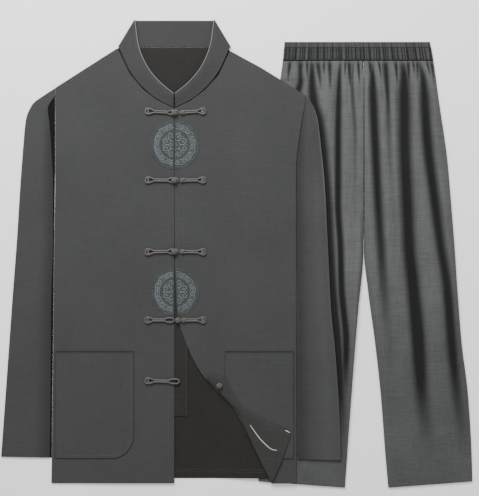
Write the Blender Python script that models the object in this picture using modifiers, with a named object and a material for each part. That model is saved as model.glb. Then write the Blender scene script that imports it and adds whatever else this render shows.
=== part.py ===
"""A tai chi uniform laid flat: a frog-buttoned jacket beside and partly over a pair of wide trousers.

Metres, +Z up from the surface that the cloth lies on. The tables hold millimetres: "down" runs
from the top edge of the garment towards its hem, and "across" runs to the right of its middle.
"""

import math
from collections import namedtuple

import bmesh
import bpy
from mathutils import Vector

MM = 0.001

# Where each garment lies
JACKET_MIDDLE_X = -0.1245
JACKET_TOP_Y = 0.4682
TROUSERS_MIDDLE_X = 0.2535
TROUSERS_TOP_Y = 0.4242

# Cloth and the way it is stacked
WALL = 1.2
GAP = 0.3
SEAM = 0.15
LEG_SEAM = 0.8
LIFT = 4.2
LIFT_RUN = 90.0

# Jacket
FRONT_HEM_DOWN = 926.0
BACK_HEM_DOWN = 916.0
CUFF_DOWN = 874.0
SLEEVE_CROWN = 2.2
SLEEVE_HEAD_DOWN = 150.0
SLEEVE_HEAD_RUN = 90.0
CUFF_PRESS = 0.35
CUFF_RUN = 160.0
FRONT_RISE = 1.7
FRONT_HALF = 240.0
FRONT_RUN = 150.0
PLACKET = {"left": -18.0, "right": 27.0, "top": 192.0, "bottom": 792.0}
POCKET_TOP_DOWN = 662.0
POCKET_BOTTOM_DOWN = 876.0
POCKET_CORNER = 46.0
RIGHT_POCKET = {"outer": -238.0, "inner": -81.0}
LEFT_POCKET = {"outer": 238.0, "inner": 101.0}

# Frog buttons
FROG_DOWNS = (186.0, 321.0, 463.0, 600.0, 722.0)
LOOP_ENDS = (8.0, 8.0, 8.0, -1.0, 10.0)
LOOP_START = -58.0
TAIL_END = 62.0
TAIL_STARTS = (12.0, 12.0, 12.0, 15.0)
CORD = 3.4
KNOT_RADIUS = 5.5
KNOT_HEIGHT = 6.8
KNOT_SEAT = 2.7
KNOT_REACH = 12.0
OPEN_KNOT_REACH = 7.8
OPEN_FROG = 4
TURNED_KNOT = (90.0, 730.0)
TURNED_CROWN = 1.6

# Trousers
BAND_TOP_DOWN = 11.0
BAND_DOWN = 38.0
GATHERS = 48
GATHER_HEIGHT = 1.3
BACK_GATHER_HEIGHT = 0.5
UNDER_JACKET = 0.9
UNDER_JACKET_BELOW = 76.0
PRESS_AT_BAND = 0.45

Edge = namedtuple("Edge", "down left right")
Line = namedtuple("Line", "down across")
Top = namedtuple("Top", "across down")
Rise = namedtuple("Rise", "down height")
Leg = namedtuple("Leg", "down outer inner")
Fold = namedtuple("Fold", "down across depth")
Pair = namedtuple("Pair", "low_across low_down high_across high_down")
Width = namedtuple("Width", "share half")

# The jacket's outline: its sides with the armholes, the shoulders and the neck seam
SIDES = (
    Edge(56, -238, 262),
    Edge(150, -238, 262),
    Edge(166, -238, 261),
    Edge(190, -238, 257),
    Edge(230, -238, 250),
    Edge(300, -238, 243),
    Edge(440, -240, 243),
    Edge(870, -245, 243),
    Edge(926, -246, 243),
)
SHOULDERS = (
    Top(-257, 148),
    Top(-185, 102),
    Top(-114, 57),
    Top(-90, 107),
    Top(-62, 140),
    Top(-32, 162),
    Top(0, 177),
    Top(32, 162),
    Top(60, 141),
    Top(88, 111),
    Top(111, 62),
    Top(171, 95),
    Top(213, 121),
    Top(262, 152),
)

# The top edge of the back between the shoulders, just below the collar
BACK_NECK = (
    Top(-114, 57),
    Top(-108, 55.2),
    Top(104, 55.2),
    Top(111, 62),
)

# The edge of the left front, which peels away to the side below the third frog
PEELED_EDGE = (
    Line(56, 0),
    Line(476, 0.5),
    Line(540, 3),
    Line(593, 6),
    Line(638, 20),
    Line(674, 35),
    Line(708, 55),
    Line(737, 80),
    Line(777, 118),
    Line(806, 136),
    Line(832, 148),
    Line(880, 171),
    Line(926, 194),
)

# The corner of the left front that is turned back: the fold, and the free edge beyond it
TURNED_CORNER = (
    Pair(64, 716, 72, 707),
    Pair(82, 735, 101, 716),
    Pair(106, 760, 118, 744),
    Pair(131, 788, 134, 769),
    Pair(142, 815, 180, 797),
    Pair(154, 842, 232, 825),
    Pair(171, 878, 219, 868),
    Pair(191, 918, 197, 921),
)

# The sleeves, each from its head at the shoulder to the cuff
RIGHT_SLEEVE = (
    Pair(-238.5, 153, -238.5, 136.5),
    Pair(-246, 162, -257, 148.5),
    Pair(-253, 178, -284, 169),
    Pair(-250, 205, -297, 200),
    Pair(-246, 255, -302, 250),
    Pair(-242.5, 335, -308, 330),
    Pair(-242.5, 440, -315, 440),
    Pair(-246, 560, -324, 560),
    Pair(-247, 700, -334, 700),
    Pair(-249, 875, -346.4, 873),
)
UNDER_RIGHT_SLEEVE_EDGE = (
    Line(153, -238.5),
    Line(178, -238.7),
    Line(300, -238.7),
    Line(440, -240.7),
    Line(875, -245.7),
)
LEFT_SLEEVE = (
    Pair(262.2, 160, 268, 156),
    Pair(260.4, 175, 279, 177),
    Pair(256.2, 200, 286, 199),
    Pair(248.4, 256, 293, 256),
    Pair(244.2, 324, 300, 324),
    Pair(244.5, 460, 307, 460),
    Pair(246, 580, 313, 580),
    Pair(246, 660, 321, 660),
    Pair(246, 756, 328, 756),
    Pair(246, 877, 333, 880),
)

# How far across each column of a torso panel stands, as a share of its width
BACK_COLUMNS = (
    0, 0.14, 0.248, 0.26, 0.4, 0.52, 0.6, 0.65, 0.683, 0.699, 0.72, 0.755, 0.79, 0.825, 0.86, 0.92, 1.0,
)
RIGHT_FRONT_COLUMNS = (0.0, 0.14, 0.28, 0.42, 0.556, 0.65, 0.76, 0.88, 1.0)
LEFT_FRONT_COLUMNS = (0.0, 0.1, 0.19, 0.27, 0.345, 0.424, 0.49, 0.56, 0.63, 0.7, 0.8, 0.9, 1.0)

# The collar, from one front end round the back to the other: the neck seam and the free edge
FRONT_BAND = (
    Pair(-1.5, 175, -1.5, 148),
    Pair(-32, 160, -30, 124),
    Pair(-60, 138, -54, 94),
    Pair(-88, 104, -72, 50),
    Pair(-111, 54.5, -79, 1.5),
)
COLLAR_RISE = 4.2
COLLAR_FOLD = 2.2
COLLAR_LOW = 5.0
TURN_ANGLES = (30, 60, 90, 120, 150)
BACK_COLLAR_ROWS = 6

# The outer edge of the trousers that lies under the jacket, across from the jacket's middle
HIDDEN_EDGE = (
    Line(46, 220),
    Line(160, 205),
    Line(280, 187),
    Line(480, 175),
    Line(760, 169),
    Line(926, 168),
)

# The legs: outer and inner edge
RIGHT_LEG = (
    Leg(0, -158, 0),
    Leg(42, -162, 0),
    Leg(116, -173, 0),
    Leg(236, -191, 0),
    Leg(316, -197, 0),
    Leg(418, -202, 0),
    Leg(536, -206, -10),
    Leg(621, -207, -17),
    Leg(749, -209, -26.6),
    Leg(891, -210, -36.4),
)
LEFT_LEG = (
    Leg(0, 133, 0),
    Leg(42, 140, 0),
    Leg(116, 150, 0),
    Leg(236, 167, 0),
    Leg(316, 174, 0),
    Leg(418, 182, 0),
    Leg(494, 187, 7.6),
    Leg(605, 195.4, 22.4),
    Leg(709, 208, 33.8),
    Leg(817, 215, 42),
    Leg(891, 217.4, 48.6),
)
OUTER_HEM_DOWN = 878.0
INNER_HEM_DOWN = 890.6

# How high the folds stand along the legs
FOLD_HEIGHTS = (
    Rise(38, 1.6),
    Rise(60, 4.5),
    Rise(100, 8.0),
    Rise(200, 10.0),
    Rise(416, 9.5),
    Rise(606, 7.5),
    Rise(722, 5.0),
    Rise(814, 2.6),
    Rise(891, 0.8),
)

# The troughs between the folds, each with its depth as a share of the height there
LEFT_TROUGHS = (
    (
        Fold(38, 17, 0.4), Fold(78, 18, 1.0), Fold(200, 23, 1.0), Fold(324, 29, 0.9), Fold(416, 35, 0.8),
        Fold(494, 40, 0.5), Fold(606, 52, 0.1), Fold(722, 64, 0), Fold(891, 80, 0),
    ),
    (
        Fold(38, 45, 0.5), Fold(78, 47, 0.7), Fold(200, 51, 0.4), Fold(324, 58, 0.1), Fold(494, 70, 0),
        Fold(606, 82, 0), Fold(722, 92, 0), Fold(891, 112, 0),
    ),
    (
        Fold(38, 77, 0.6), Fold(78, 81, 1.0), Fold(200, 82, 1.0), Fold(324, 87, 1.0), Fold(416, 91, 1.0),
        Fold(494, 99, 1.0), Fold(606, 109, 1.0), Fold(722, 117, 0.9), Fold(814, 131, 0.6), Fold(891, 144, 0),
    ),
    (
        Fold(38, 110, 0.5), Fold(78, 119, 0.9), Fold(200, 127, 1.0), Fold(324, 142, 1.0), Fold(416, 154, 0.9),
        Fold(494, 166, 0.9), Fold(606, 175, 0.8), Fold(722, 187, 0.8), Fold(814, 198, 0.5), Fold(891, 200, 0),
    ),
)
RIGHT_TROUGHS = (
    (
        Fold(38, -128, 0.8), Fold(78, -126, 0.9), Fold(110, -134, 1), Fold(200, -144, 1), Fold(891, -150, 1),
    ),
    (
        Fold(38, -103, 0.7), Fold(78, -103, 1.0), Fold(122, -100, 1.0), Fold(158, -90, 1.0),
        Fold(200, -84, 1.0), Fold(324, -73, 1.0), Fold(416, -68, 1.0), Fold(494, -64, 1.0),
        Fold(606, -55, 1.0), Fold(722, -47, 1.0), Fold(814, -43.5, 1.0), Fold(891, -47, 0.2),
    ),
    (
        Fold(38, -46, 0.6), Fold(78, -49, 1.0), Fold(200, -51, 1.0), Fold(324, -51, 1.0), Fold(416, -46, 1.0),
        Fold(494, -44, 1.0), Fold(606, -35, 0.9), Fold(722, -38, 0.3), Fold(814, -38, 0), Fold(891, -43, 0),
    ),
    (
        Fold(38, -20, 0.5), Fold(78, -23, 0.6), Fold(200, -17, 0.4), Fold(324, -18, 0.1), Fold(494, -24, 0),
        Fold(606, -25, 0), Fold(722, -31, 0), Fold(814, -34.5, 0), Fold(891, -40, 0),
    ),
)
FLANKS = ((0.0, 0.0), (0.22, 0.72), (0.5, 1.0), (0.78, 0.72))
LEG_ROWS = (38.3, 58, 78, 100, 122, 140, 158, 200, 262, 324, 416, 494, 550, 606, 664, 722, 814, 850, 891)
CENTRE_HEIGHTS = (Rise(38, 0.9), Rise(330, 0.8), Rise(418, 0.05), Rise(891, 0.05))

# A frog's doubled cord: half its width along it
LOOP_SHAPE = (
    Width(0.0, 3.6), Width(0.07, 5.6), Width(0.17, 4.6), Width(0.3, 2.0), Width(0.66, 2.0),
    Width(0.8, 4.4), Width(0.93, 4.4), Width(1.0, 1.9),
)
TAIL_SHAPE = (
    Width(0.0, 1.9), Width(0.1, 3.6), Width(0.3, 2.0), Width(0.62, 2.0), Width(0.8, 4.6),
    Width(0.92, 5.6), Width(1.0, 3.6),
)


def clear_scene():
    for obj in list(bpy.data.objects):
        bpy.data.objects.remove(obj)


def make_material(name, colour, roughness):
    material = bpy.data.materials.new(name)
    material.use_nodes = True
    shader = material.node_tree.nodes["Principled BSDF"]
    shader.inputs["Base Color"].default_value = (*colour, 1.0)
    shader.inputs["Roughness"].default_value = roughness
    shader.inputs["Metallic"].default_value = 0.0
    material.diffuse_color = (*colour, 1.0)
    return material


def smooth_step(value):
    held = min(max(value, 0.0), 1.0)
    return held * held * (3.0 - 2.0 * held)


def read(rows, at, column, key=0):
    """The table's column at this value of its key column, by straight steps between the rows."""
    before = rows[0]
    for row in rows:
        if row[key] >= at:
            span = row[key] - before[key]
            share = (at - before[key]) / span if span > 0 else 0.0
            return before[column] + share * (row[column] - before[column])
        before = row
    return rows[-1][column]


def jacket_point(across, down, height):
    return Vector((JACKET_MIDDLE_X + across * MM, JACKET_TOP_Y - down * MM, height * MM))


def trousers_point(across, down, height):
    return Vector((TROUSERS_MIDDLE_X + across * MM, TROUSERS_TOP_Y - down * MM, height * MM))


def lift(across, down):
    """How far the jacket is held up where it lies over the trousers."""
    edge = read(HIDDEN_EDGE, down, 1)
    return LIFT * smooth_step((across - edge + LIFT_RUN) / (LIFT_RUN - 4.0))


def front_height(across, down):
    """The underside of the jacket's fronts, which rise from the side seams to the closing."""
    rise = smooth_step((FRONT_HALF - abs(across)) / FRONT_RUN)
    return lift(across, down) + WALL + GAP + FRONT_RISE * rise


def add_object(name, mesh, material, collection, parent):
    obj = bpy.data.objects.new(name, mesh)
    obj.parent = parent
    mesh.materials.append(material)
    collection.objects.link(obj)
    mesh.shade_smooth()
    return obj


def add_cloth(name, rows, material, collection, parent):
    """One cloth panel: an open surface through rows of points, given its thickness by Solidify."""
    shape = bmesh.new()
    grid = [[shape.verts.new(point) for point in row] for row in rows]
    for upper, lower in zip(grid, grid[1:]):
        for k in range(len(upper) - 1):
            shape.faces.new((upper[k], lower[k], lower[k + 1], upper[k + 1]))
    mesh = bpy.data.meshes.new(name)
    shape.to_mesh(mesh)
    shape.free()
    obj = add_object(name, mesh, material, collection, parent)
    wall = obj.modifiers.new("Wall", "SOLIDIFY")
    wall.thickness = WALL * MM
    wall.offset = 1.0
    wall.use_even_offset = True
    return obj


def shares(count):
    return [k / count for k in range(count + 1)]


def torso_rows(left_at, right_at, hem, columns, row_shares, height):
    """Rows of a torso panel between its two edges, from the shoulder and neck seam to the hem."""
    rows = []
    for share in row_shares:
        row = []
        for fraction in columns:
            top_across = left_at(60.0) + fraction * (right_at(60.0) - left_at(60.0))
            top = read(SHOULDERS, top_across, 1)
            down = top + share * (hem - top)
            across = left_at(down) + fraction * (right_at(down) - left_at(down))
            row.append(jacket_point(across, down, height(across, down)))
        rows.append(row)
    return rows


def side_left(down):
    return read(SIDES, down, 1)


def side_right(down):
    return read(SIDES, down, 2)


def back_neck(across):
    """The top edge of the back: the shoulders, and a straight neck seam between them."""
    in_neck = BACK_NECK[0].across < across < BACK_NECK[-1].across
    return read(BACK_NECK if in_neck else SHOULDERS, across, 1)


def make_back(material, collection, parent):
    rows = []
    for share in shares(13):
        row = []
        for fraction in BACK_COLUMNS:
            top_across = side_left(60.0) + fraction * (side_right(60.0) - side_left(60.0))
            top = back_neck(top_across)
            down = top + share * (BACK_HEM_DOWN - top)
            across = side_left(down) + fraction * (side_right(down) - side_left(down))
            row.append(jacket_point(across, down, lift(across, down)))
        rows.append(row)
    add_cloth("jacket_back", rows, material, collection, parent)


def make_fronts(material, collection, parent):
    row_shares = shares(16)
    columns = RIGHT_FRONT_COLUMNS
    rows = torso_rows(side_left, lambda down: -SEAM, FRONT_HEM_DOWN, columns, row_shares, front_height)
    add_cloth("jacket_front_right", rows, material, collection, parent)

    def edge(down):
        return read(PEELED_EDGE, down, 1) + SEAM

    columns = LEFT_FRONT_COLUMNS
    rows = torso_rows(edge, side_right, FRONT_HEM_DOWN, columns, row_shares, front_height)
    add_cloth("jacket_front_left", rows, material, collection, parent)


def corner_height(across, down):
    """The underside of the turned corner, which lies over the front and its pocket."""
    return front_height(across, down) + 2 * WALL + 4 * GAP


def make_turned_corner(material, collection, parent):
    rows = []
    for pair in TURNED_CORNER:
        row = []
        for share in shares(5):
            across = pair.low_across + share * (pair.high_across - pair.low_across)
            down = pair.low_down + share * (pair.high_down - pair.low_down)
            crown = TURNED_CROWN * math.sin(math.pi * share)
            row.append(jacket_point(across, down, corner_height(across, down) + crown))
        rows.append(row)
    add_cloth("front_left_turned_corner", rows, material, collection, parent)


def make_placket(material, collection, parent):
    rows = []
    for share in shares(8):
        down = PLACKET["top"] + share * (PLACKET["bottom"] - PLACKET["top"])
        middle = (PLACKET["left"] + PLACKET["right"]) / 2
        columns = (PLACKET["left"], middle, PLACKET["right"])
        rows.append([jacket_point(across, down, WALL + GAP) for across in columns])
    add_cloth("under_placket", rows, material, collection, parent)


def make_pocket(name, outer, inner, clear_of, material, collection, parent):
    """A patch pocket with its lower inner corner rounded, lying on its front."""
    rows = []
    side = 1.0 if inner > outer else -1.0
    height = POCKET_BOTTOM_DOWN - POCKET_TOP_DOWN
    for share in (0, 0.2, 0.4, 0.6, 0.8, 0.87, 0.93, 0.975, 1.0):
        down = POCKET_TOP_DOWN + share * height
        into = max(0.0, down - (POCKET_BOTTOM_DOWN - POCKET_CORNER))
        drawn_in = POCKET_CORNER - math.sqrt(max(POCKET_CORNER**2 - into**2, 0.0))
        end = clear_of(down, inner - side * drawn_in)
        row = []
        for step in shares(9):
            across = outer + step * (end - outer)
            row.append(jacket_point(across, down, front_height(across, down) + WALL + 2 * GAP))
        rows.append(row if side > 0 else row[::-1])
    add_cloth(name, rows, material, collection, parent)


def make_pockets(material, collection, parent):
    make_pocket(
        "pocket_right", RIGHT_POCKET["outer"], RIGHT_POCKET["inner"], lambda down, end: end,
        material, collection, parent,
    )
    make_pocket(
        "pocket_left", LEFT_POCKET["outer"], LEFT_POCKET["inner"],
        lambda down, end: max(LEFT_POCKET["inner"], read(PEELED_EDGE, down, 1) + 4.0),
        material, collection, parent,
    )


def sleeve_rows(table, height, inner_edge):
    rows = []
    for pair in table:
        row = []
        inner = read(inner_edge, pair.low_down, 1) if inner_edge else pair.low_across
        for share in shares(8):
            across = inner + share * (pair.high_across - inner)
            down = pair.low_down + share * (pair.high_down - pair.low_down)
            row.append(jacket_point(across, down, height(across, down, share)))
        rows.append(row)
    return rows


def make_sleeves(material, collection, parent):
    def under(across, down, share):
        return lift(across, down)

    def upper(across, down, share):
        head = smooth_step((down - SLEEVE_HEAD_DOWN) / SLEEVE_HEAD_RUN)
        cuff = CUFF_PRESS + (1.0 - CUFF_PRESS) * smooth_step((CUFF_DOWN - down) / CUFF_RUN)
        crown = SLEEVE_CROWN * head * cuff * math.sin(math.pi * share) ** 0.7
        return lift(across, down) + WALL + GAP + crown

    for side, table, under_edge in (
        ("right", RIGHT_SLEEVE, UNDER_RIGHT_SLEEVE_EDGE), ("left", LEFT_SLEEVE, None),
    ):
        for layer, height, inner_edge in (("under", under, under_edge), ("upper", upper, None)):
            rows = sleeve_rows(table, height, inner_edge)
            if side == "right":
                rows = [row[::-1] for row in rows]
            add_cloth(f"sleeve_{side}_{layer}", rows, material, collection, parent)


def collar_rows():
    """The collar's outer face: up along one front band, round the side, along the back and down."""
    band = []
    for index, pair in enumerate(FRONT_BAND):
        rise = COLLAR_RISE * smooth_step((len(FRONT_BAND) - 1 - index) / 2.0)
        row = []
        for share in shares(4):
            across = pair.low_across + share * (pair.high_across - pair.low_across)
            down = pair.low_down + share * (pair.high_down - pair.low_down)
            row.append((across, down, COLLAR_LOW + rise * smooth_step(share)))
        band.append(row)
    turn = []
    for angle in TURN_ANGLES:
        outward = COLLAR_FOLD * math.sin(math.radians(angle))
        height = COLLAR_FOLD * (1 + math.cos(math.radians(angle)))
        turn.append([(across - outward, down, height) for across, down, _ in band[-1]])
    back = []
    for share in [(k + 0.5) / BACK_COLLAR_ROWS for k in range(BACK_COLLAR_ROWS)]:
        row = []
        for across, down, _ in band[-1]:
            span = -2 * across
            row.append((across + span * share, down, 0.0))
        back.append(row)
    mirrored_turn = [[(-across, down, height) for across, down, height in row] for row in turn[::-1]]
    mirrored_band = [[(-across, down, height) for across, down, height in row] for row in band[::-1]]
    return band + turn + back + mirrored_turn + mirrored_band


def make_collar(material, collection, parent):
    rows = [[jacket_point(*point) for point in row] for row in collar_rows()]
    add_cloth("collar", rows, material, collection, parent)


def frog_path(start, end, shape, down, height_at):
    """A doubled cord: out along one side of its shape and back along the other."""
    upper = [(start + row.share * (end - start), row.half) for row in shape]
    lower = [(across, -half) for across, half in upper[::-1]]
    return [
        jacket_point(across, down + half, height_at(across, down) + CORD / 2)
        for across, half in upper + lower
    ]


def add_cord(name, points, material, collection, parent):
    curve = bpy.data.curves.new(name, "CURVE")
    curve.dimensions = "3D"
    curve.bevel_depth = CORD / 2 * MM
    curve.bevel_resolution = 1
    spline = curve.splines.new("POLY")
    spline.points.add(len(points) - 1)
    for point, place in zip(spline.points, points):
        point.co = (*place, 1.0)
    spline.use_cyclic_u = True
    spline.use_smooth = True
    curve.materials.append(material)
    obj = bpy.data.objects.new(name, curve)
    obj.parent = parent
    collection.objects.link(obj)


def add_knot(name, across, down, base, material, collection, parent):
    shape = bmesh.new()
    bmesh.ops.create_uvsphere(shape, u_segments=12, v_segments=8, radius=1.0)
    bmesh.ops.scale(shape, verts=shape.verts, vec=(KNOT_RADIUS * MM, KNOT_RADIUS * MM, KNOT_HEIGHT / 2 * MM))
    bmesh.ops.translate(shape, verts=shape.verts, vec=jacket_point(across, down, base + KNOT_HEIGHT / 2))
    mesh = bpy.data.meshes.new(name)
    shape.to_mesh(mesh)
    shape.free()
    add_object(name, mesh, material, collection, parent)


def make_frogs(material, collection, parent):
    def front_top(across, down):
        return front_height(across, down) + WALL + 2 * GAP

    for number, down in enumerate(FROG_DOWNS, start=1):
        end = LOOP_ENDS[number - 1]
        path = frog_path(LOOP_START, end, LOOP_SHAPE, down, front_top)
        add_cord(f"frog_loop_{number}", path, material, collection, parent)
    for number, (down, start) in enumerate(zip(FROG_DOWNS, TAIL_STARTS), start=1):
        path = frog_path(start, TAIL_END, TAIL_SHAPE, down, front_top)
        add_cord(f"frog_tail_{number}", path, material, collection, parent)
        closed = number < OPEN_FROG
        seat = start - (KNOT_REACH if closed else OPEN_KNOT_REACH)
        base = front_top(seat, down) + (KNOT_SEAT if closed else 0.0)
        add_knot(f"frog_knot_{number}", seat, down, base, material, collection, parent)
    across, down = TURNED_KNOT
    corner_top = corner_height(across, down) + WALL + TURNED_CROWN
    add_knot("frog_knot_5", across, down, corner_top, material, collection, parent)


def leg_columns(table, troughs, down, sign):
    """Across, share of the fold height, for each column from the inner to the outer edge."""
    inner = read(table, down, 2) + sign * LEG_SEAM
    marks = [(inner, read(CENTRE_HEIGHTS, down, 1))]
    ordered = troughs if sign > 0 else troughs[::-1]
    for trough in ordered:
        marks.append((read(trough, down, 1), 1.0 - read(trough, down, 2)))
    marks.append((read(table, down, 1), 0.0))
    columns = []
    for (across, low), (next_across, next_low) in zip(marks, marks[1:]):
        for share, crest in FLANKS:
            base = low + share * (next_low - low)
            columns.append((across + share * (next_across - across), base + crest * (1.0 - base)))
    columns.append(marks[-1])
    return columns


def pressed(across, down, sign):
    """The folds lie flatter where the jacket covers them."""
    if sign > 0:
        return 1.0
    if across > read(RIGHT_TROUGHS[1], down, 1) + 0.5:
        return 1.0
    if down <= UNDER_JACKET_BELOW:
        return PRESS_AT_BAND
    return UNDER_JACKET / read(FOLD_HEIGHTS, down, 1)


def make_leg(side, table, troughs, sign, material, collection, parent):
    front = []
    back = []
    for down in LEG_ROWS:
        front_row = []
        back_row = []
        for across, share in leg_columns(table, troughs, down, sign):
            inner, outer = read(table, down, 2), read(table, down, 1)
            out = (across - inner) / (outer - inner)
            hem = INNER_HEM_DOWN + (OUTER_HEM_DOWN - INNER_HEM_DOWN) * out
            lower = down * hem / INNER_HEM_DOWN if down > BAND_DOWN + 1.0 else down
            height = read(FOLD_HEIGHTS, down, 1) * share * pressed(across, down, sign)
            front_row.append(trousers_point(across, lower, WALL + GAP + height))
            back_row.append(trousers_point(across, lower, 0.0))
        front.append(front_row if sign > 0 else front_row[::-1])
        back.append(back_row[::4] if sign > 0 else back_row[::-4])
    add_cloth(f"trousers_front_{side}", front, material, collection, parent)
    add_cloth(f"trousers_back_{side}", back[::2], material, collection, parent)


def make_waistband(material, collection, parent):
    def strip(top, bottom, base, height):
        rows = []
        for down in (top, bottom):
            left = read(RIGHT_LEG, down, 1)
            right = read(LEFT_LEG, down, 1)
            row = []
            for k in range(2 * GATHERS + 1):
                across = left + (right - left) * k / (2 * GATHERS)
                wave = k % 2
                row.append(trousers_point(across, down, base + height * wave))
            rows.append(row)
        return rows

    back = strip(0.0, BAND_DOWN, 0.0, BACK_GATHER_HEIGHT)
    add_cloth("waistband_back", back, material, collection, parent)
    front = strip(BAND_TOP_DOWN, BAND_DOWN, WALL + 2 * GAP + BACK_GATHER_HEIGHT, GATHER_HEIGHT)
    add_cloth("waistband_front", front, material, collection, parent)


def main():
    clear_scene()
    collection = bpy.data.collections.new("tai_chi_uniform")
    bpy.context.scene.collection.children.link(collection)
    uniform = bpy.data.objects.new("uniform", None)
    collection.objects.link(uniform)

    jacket_cloth = make_material("jacket_cloth", (0.085, 0.087, 0.088), 0.85)
    collar_cloth = make_material("collar_cloth", (0.075, 0.077, 0.078), 0.85)
    placket_cloth = make_material("placket_cloth", (0.035, 0.034, 0.033), 0.88)
    trouser_cloth = make_material("trouser_cloth", (0.11, 0.115, 0.115), 0.8)
    frog_cord = make_material("frog_cord", (0.13, 0.12, 0.115), 0.6)

    make_back(placket_cloth, collection, uniform)
    make_fronts(jacket_cloth, collection, uniform)
    make_turned_corner(jacket_cloth, collection, uniform)
    make_placket(placket_cloth, collection, uniform)
    make_pockets(jacket_cloth, collection, uniform)
    make_sleeves(jacket_cloth, collection, uniform)
    make_collar(collar_cloth, collection, uniform)
    make_frogs(frog_cord, collection, uniform)
    make_leg("left", LEFT_LEG, LEFT_TROUGHS, 1.0, trouser_cloth, collection, uniform)
    make_leg("right", RIGHT_LEG, RIGHT_TROUGHS, -1.0, trouser_cloth, collection, uniform)
    make_waistband(trouser_cloth, collection, uniform)


main()
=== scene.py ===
"""The tai chi uniform of the photo, laid flat: a frog-buttoned jacket beside and partly over wide trousers.

Tables hold millimetres: "down" runs from a garment's top edge to its hem, "across" to the right of its
middle.
"""

import math
from collections import namedtuple

import bmesh
import bpy
import numpy as np
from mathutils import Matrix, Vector
from mathutils.bvhtree import BVHTree


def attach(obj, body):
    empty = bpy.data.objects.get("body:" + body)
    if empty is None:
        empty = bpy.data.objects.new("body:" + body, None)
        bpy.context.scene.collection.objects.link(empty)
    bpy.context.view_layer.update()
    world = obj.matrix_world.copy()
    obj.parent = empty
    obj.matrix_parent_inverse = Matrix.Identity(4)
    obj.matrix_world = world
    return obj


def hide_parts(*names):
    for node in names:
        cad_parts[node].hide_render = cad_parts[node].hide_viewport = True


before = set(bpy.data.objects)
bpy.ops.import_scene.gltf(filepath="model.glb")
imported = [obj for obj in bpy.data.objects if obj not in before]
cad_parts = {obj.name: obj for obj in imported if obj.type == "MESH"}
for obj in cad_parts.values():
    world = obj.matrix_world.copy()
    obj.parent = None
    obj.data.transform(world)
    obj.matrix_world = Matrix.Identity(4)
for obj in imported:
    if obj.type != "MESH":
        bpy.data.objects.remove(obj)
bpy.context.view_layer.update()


# Trouser backs
# The back of each wide trouser leg, in slubbed linen-cotton, sewn to its front at the side seam and the
# inner seam. It lies flat under the front and only a thread of it shows at the edges.
MM = 0.001
WALL = 1.2
GAP = 0.3
LEG_SEAM = 0.8
TROUSERS_MIDDLE_X = 0.2535
TROUSERS_TOP_Y = 0.4242
BAND_DOWN = 38.0
OUTER_HEM_DOWN = 878.0
INNER_HEM_DOWN = 890.6

Leg = namedtuple("Leg", "down outer inner")
Crease = namedtuple("Crease", "across down across_end down_end width height")

RIGHT_LEG = (
    Leg(0, -158, 0),
    Leg(42, -162, 0),
    Leg(116, -173, 0),
    Leg(236, -191, 0),
    Leg(316, -197, 0),
    Leg(418, -202, 0),
    Leg(536, -206, -10),
    Leg(621, -207, -17),
    Leg(749, -209, -26.6),
    Leg(891, -210, -36.4),
)
LEFT_LEG = (
    Leg(0, 133, 0),
    Leg(42, 140, 0),
    Leg(116, 150, 0),
    Leg(236, 167, 0),
    Leg(316, 174, 0),
    Leg(418, 182, 0),
    Leg(494, 187, 7.6),
    Leg(605, 195.4, 22.4),
    Leg(709, 208, 33.8),
    Leg(817, 215, 42),
    Leg(891, 217.4, 48.6),
)


def smooth(rows, column=1, key=0):
    """A table's column as a smooth curve of its key, with no overshoot between the rows."""
    at = np.array([row[key] for row in rows], float)
    value = np.array([row[column] for row in rows], float)
    slope = np.diff(value) / np.diff(at)
    tangent = np.zeros_like(value)
    tangent[0], tangent[-1] = slope[0], slope[-1]
    product = slope[:-1] * slope[1:]
    rising = product > 0
    tangent[1:-1][rising] = 2 * product[rising] / (slope[:-1] + slope[1:])[rising]

    def read(x):
        held = np.clip(x, at[0], at[-1])
        k = np.clip(np.searchsorted(at, held) - 1, 0, len(at) - 2)
        step = at[k + 1] - at[k]
        t = (held - at[k]) / step
        start = (2 * t**3 - 3 * t**2 + 1) * value[k] + (t**3 - 2 * t**2 + t) * step * tangent[k]
        end = (3 * t**2 - 2 * t**3) * value[k + 1] + (t**3 - t**2) * step * tangent[k + 1]
        return start + end

    return read


def smooth_step(value):
    held = np.clip(value, 0.0, 1.0)
    return held * held * (3.0 - 2.0 * held)


def steps(length, pitch):
    """Shares of a length at even pitch, with closer ones beside both ends for a rounded edge."""
    inner = np.linspace(2.4, length - 2.4, max(2, round((length - 4.8) / pitch) + 1))
    places = np.concatenate(([0.0, 0.5, 1.2], inner, [length - 1.2, length - 0.5, length]))
    return places / length


def creased(across, down, creases):
    """The height of soft ridges and troughs, each along a straight line that fades at both ends."""
    height = np.zeros_like(across)
    for crease in creases:
        run = np.array([crease.across_end - crease.across, crease.down_end - crease.down])
        length = math.hypot(*run)
        run = run / length
        along = (across - crease.across) * run[0] + (down - crease.down) * run[1]
        aside = (across - crease.across) * run[1] - (down - crease.down) * run[0]
        aside = aside + 0.035 * length * np.sin(along / length * 2.6 + crease.width)
        fade = smooth_step(along / (0.3 * length)) * smooth_step((length - along) / (0.3 * length))
        height = height + crease.height * fade * np.exp(-((aside / crease.width) ** 2))
    return height


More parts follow.
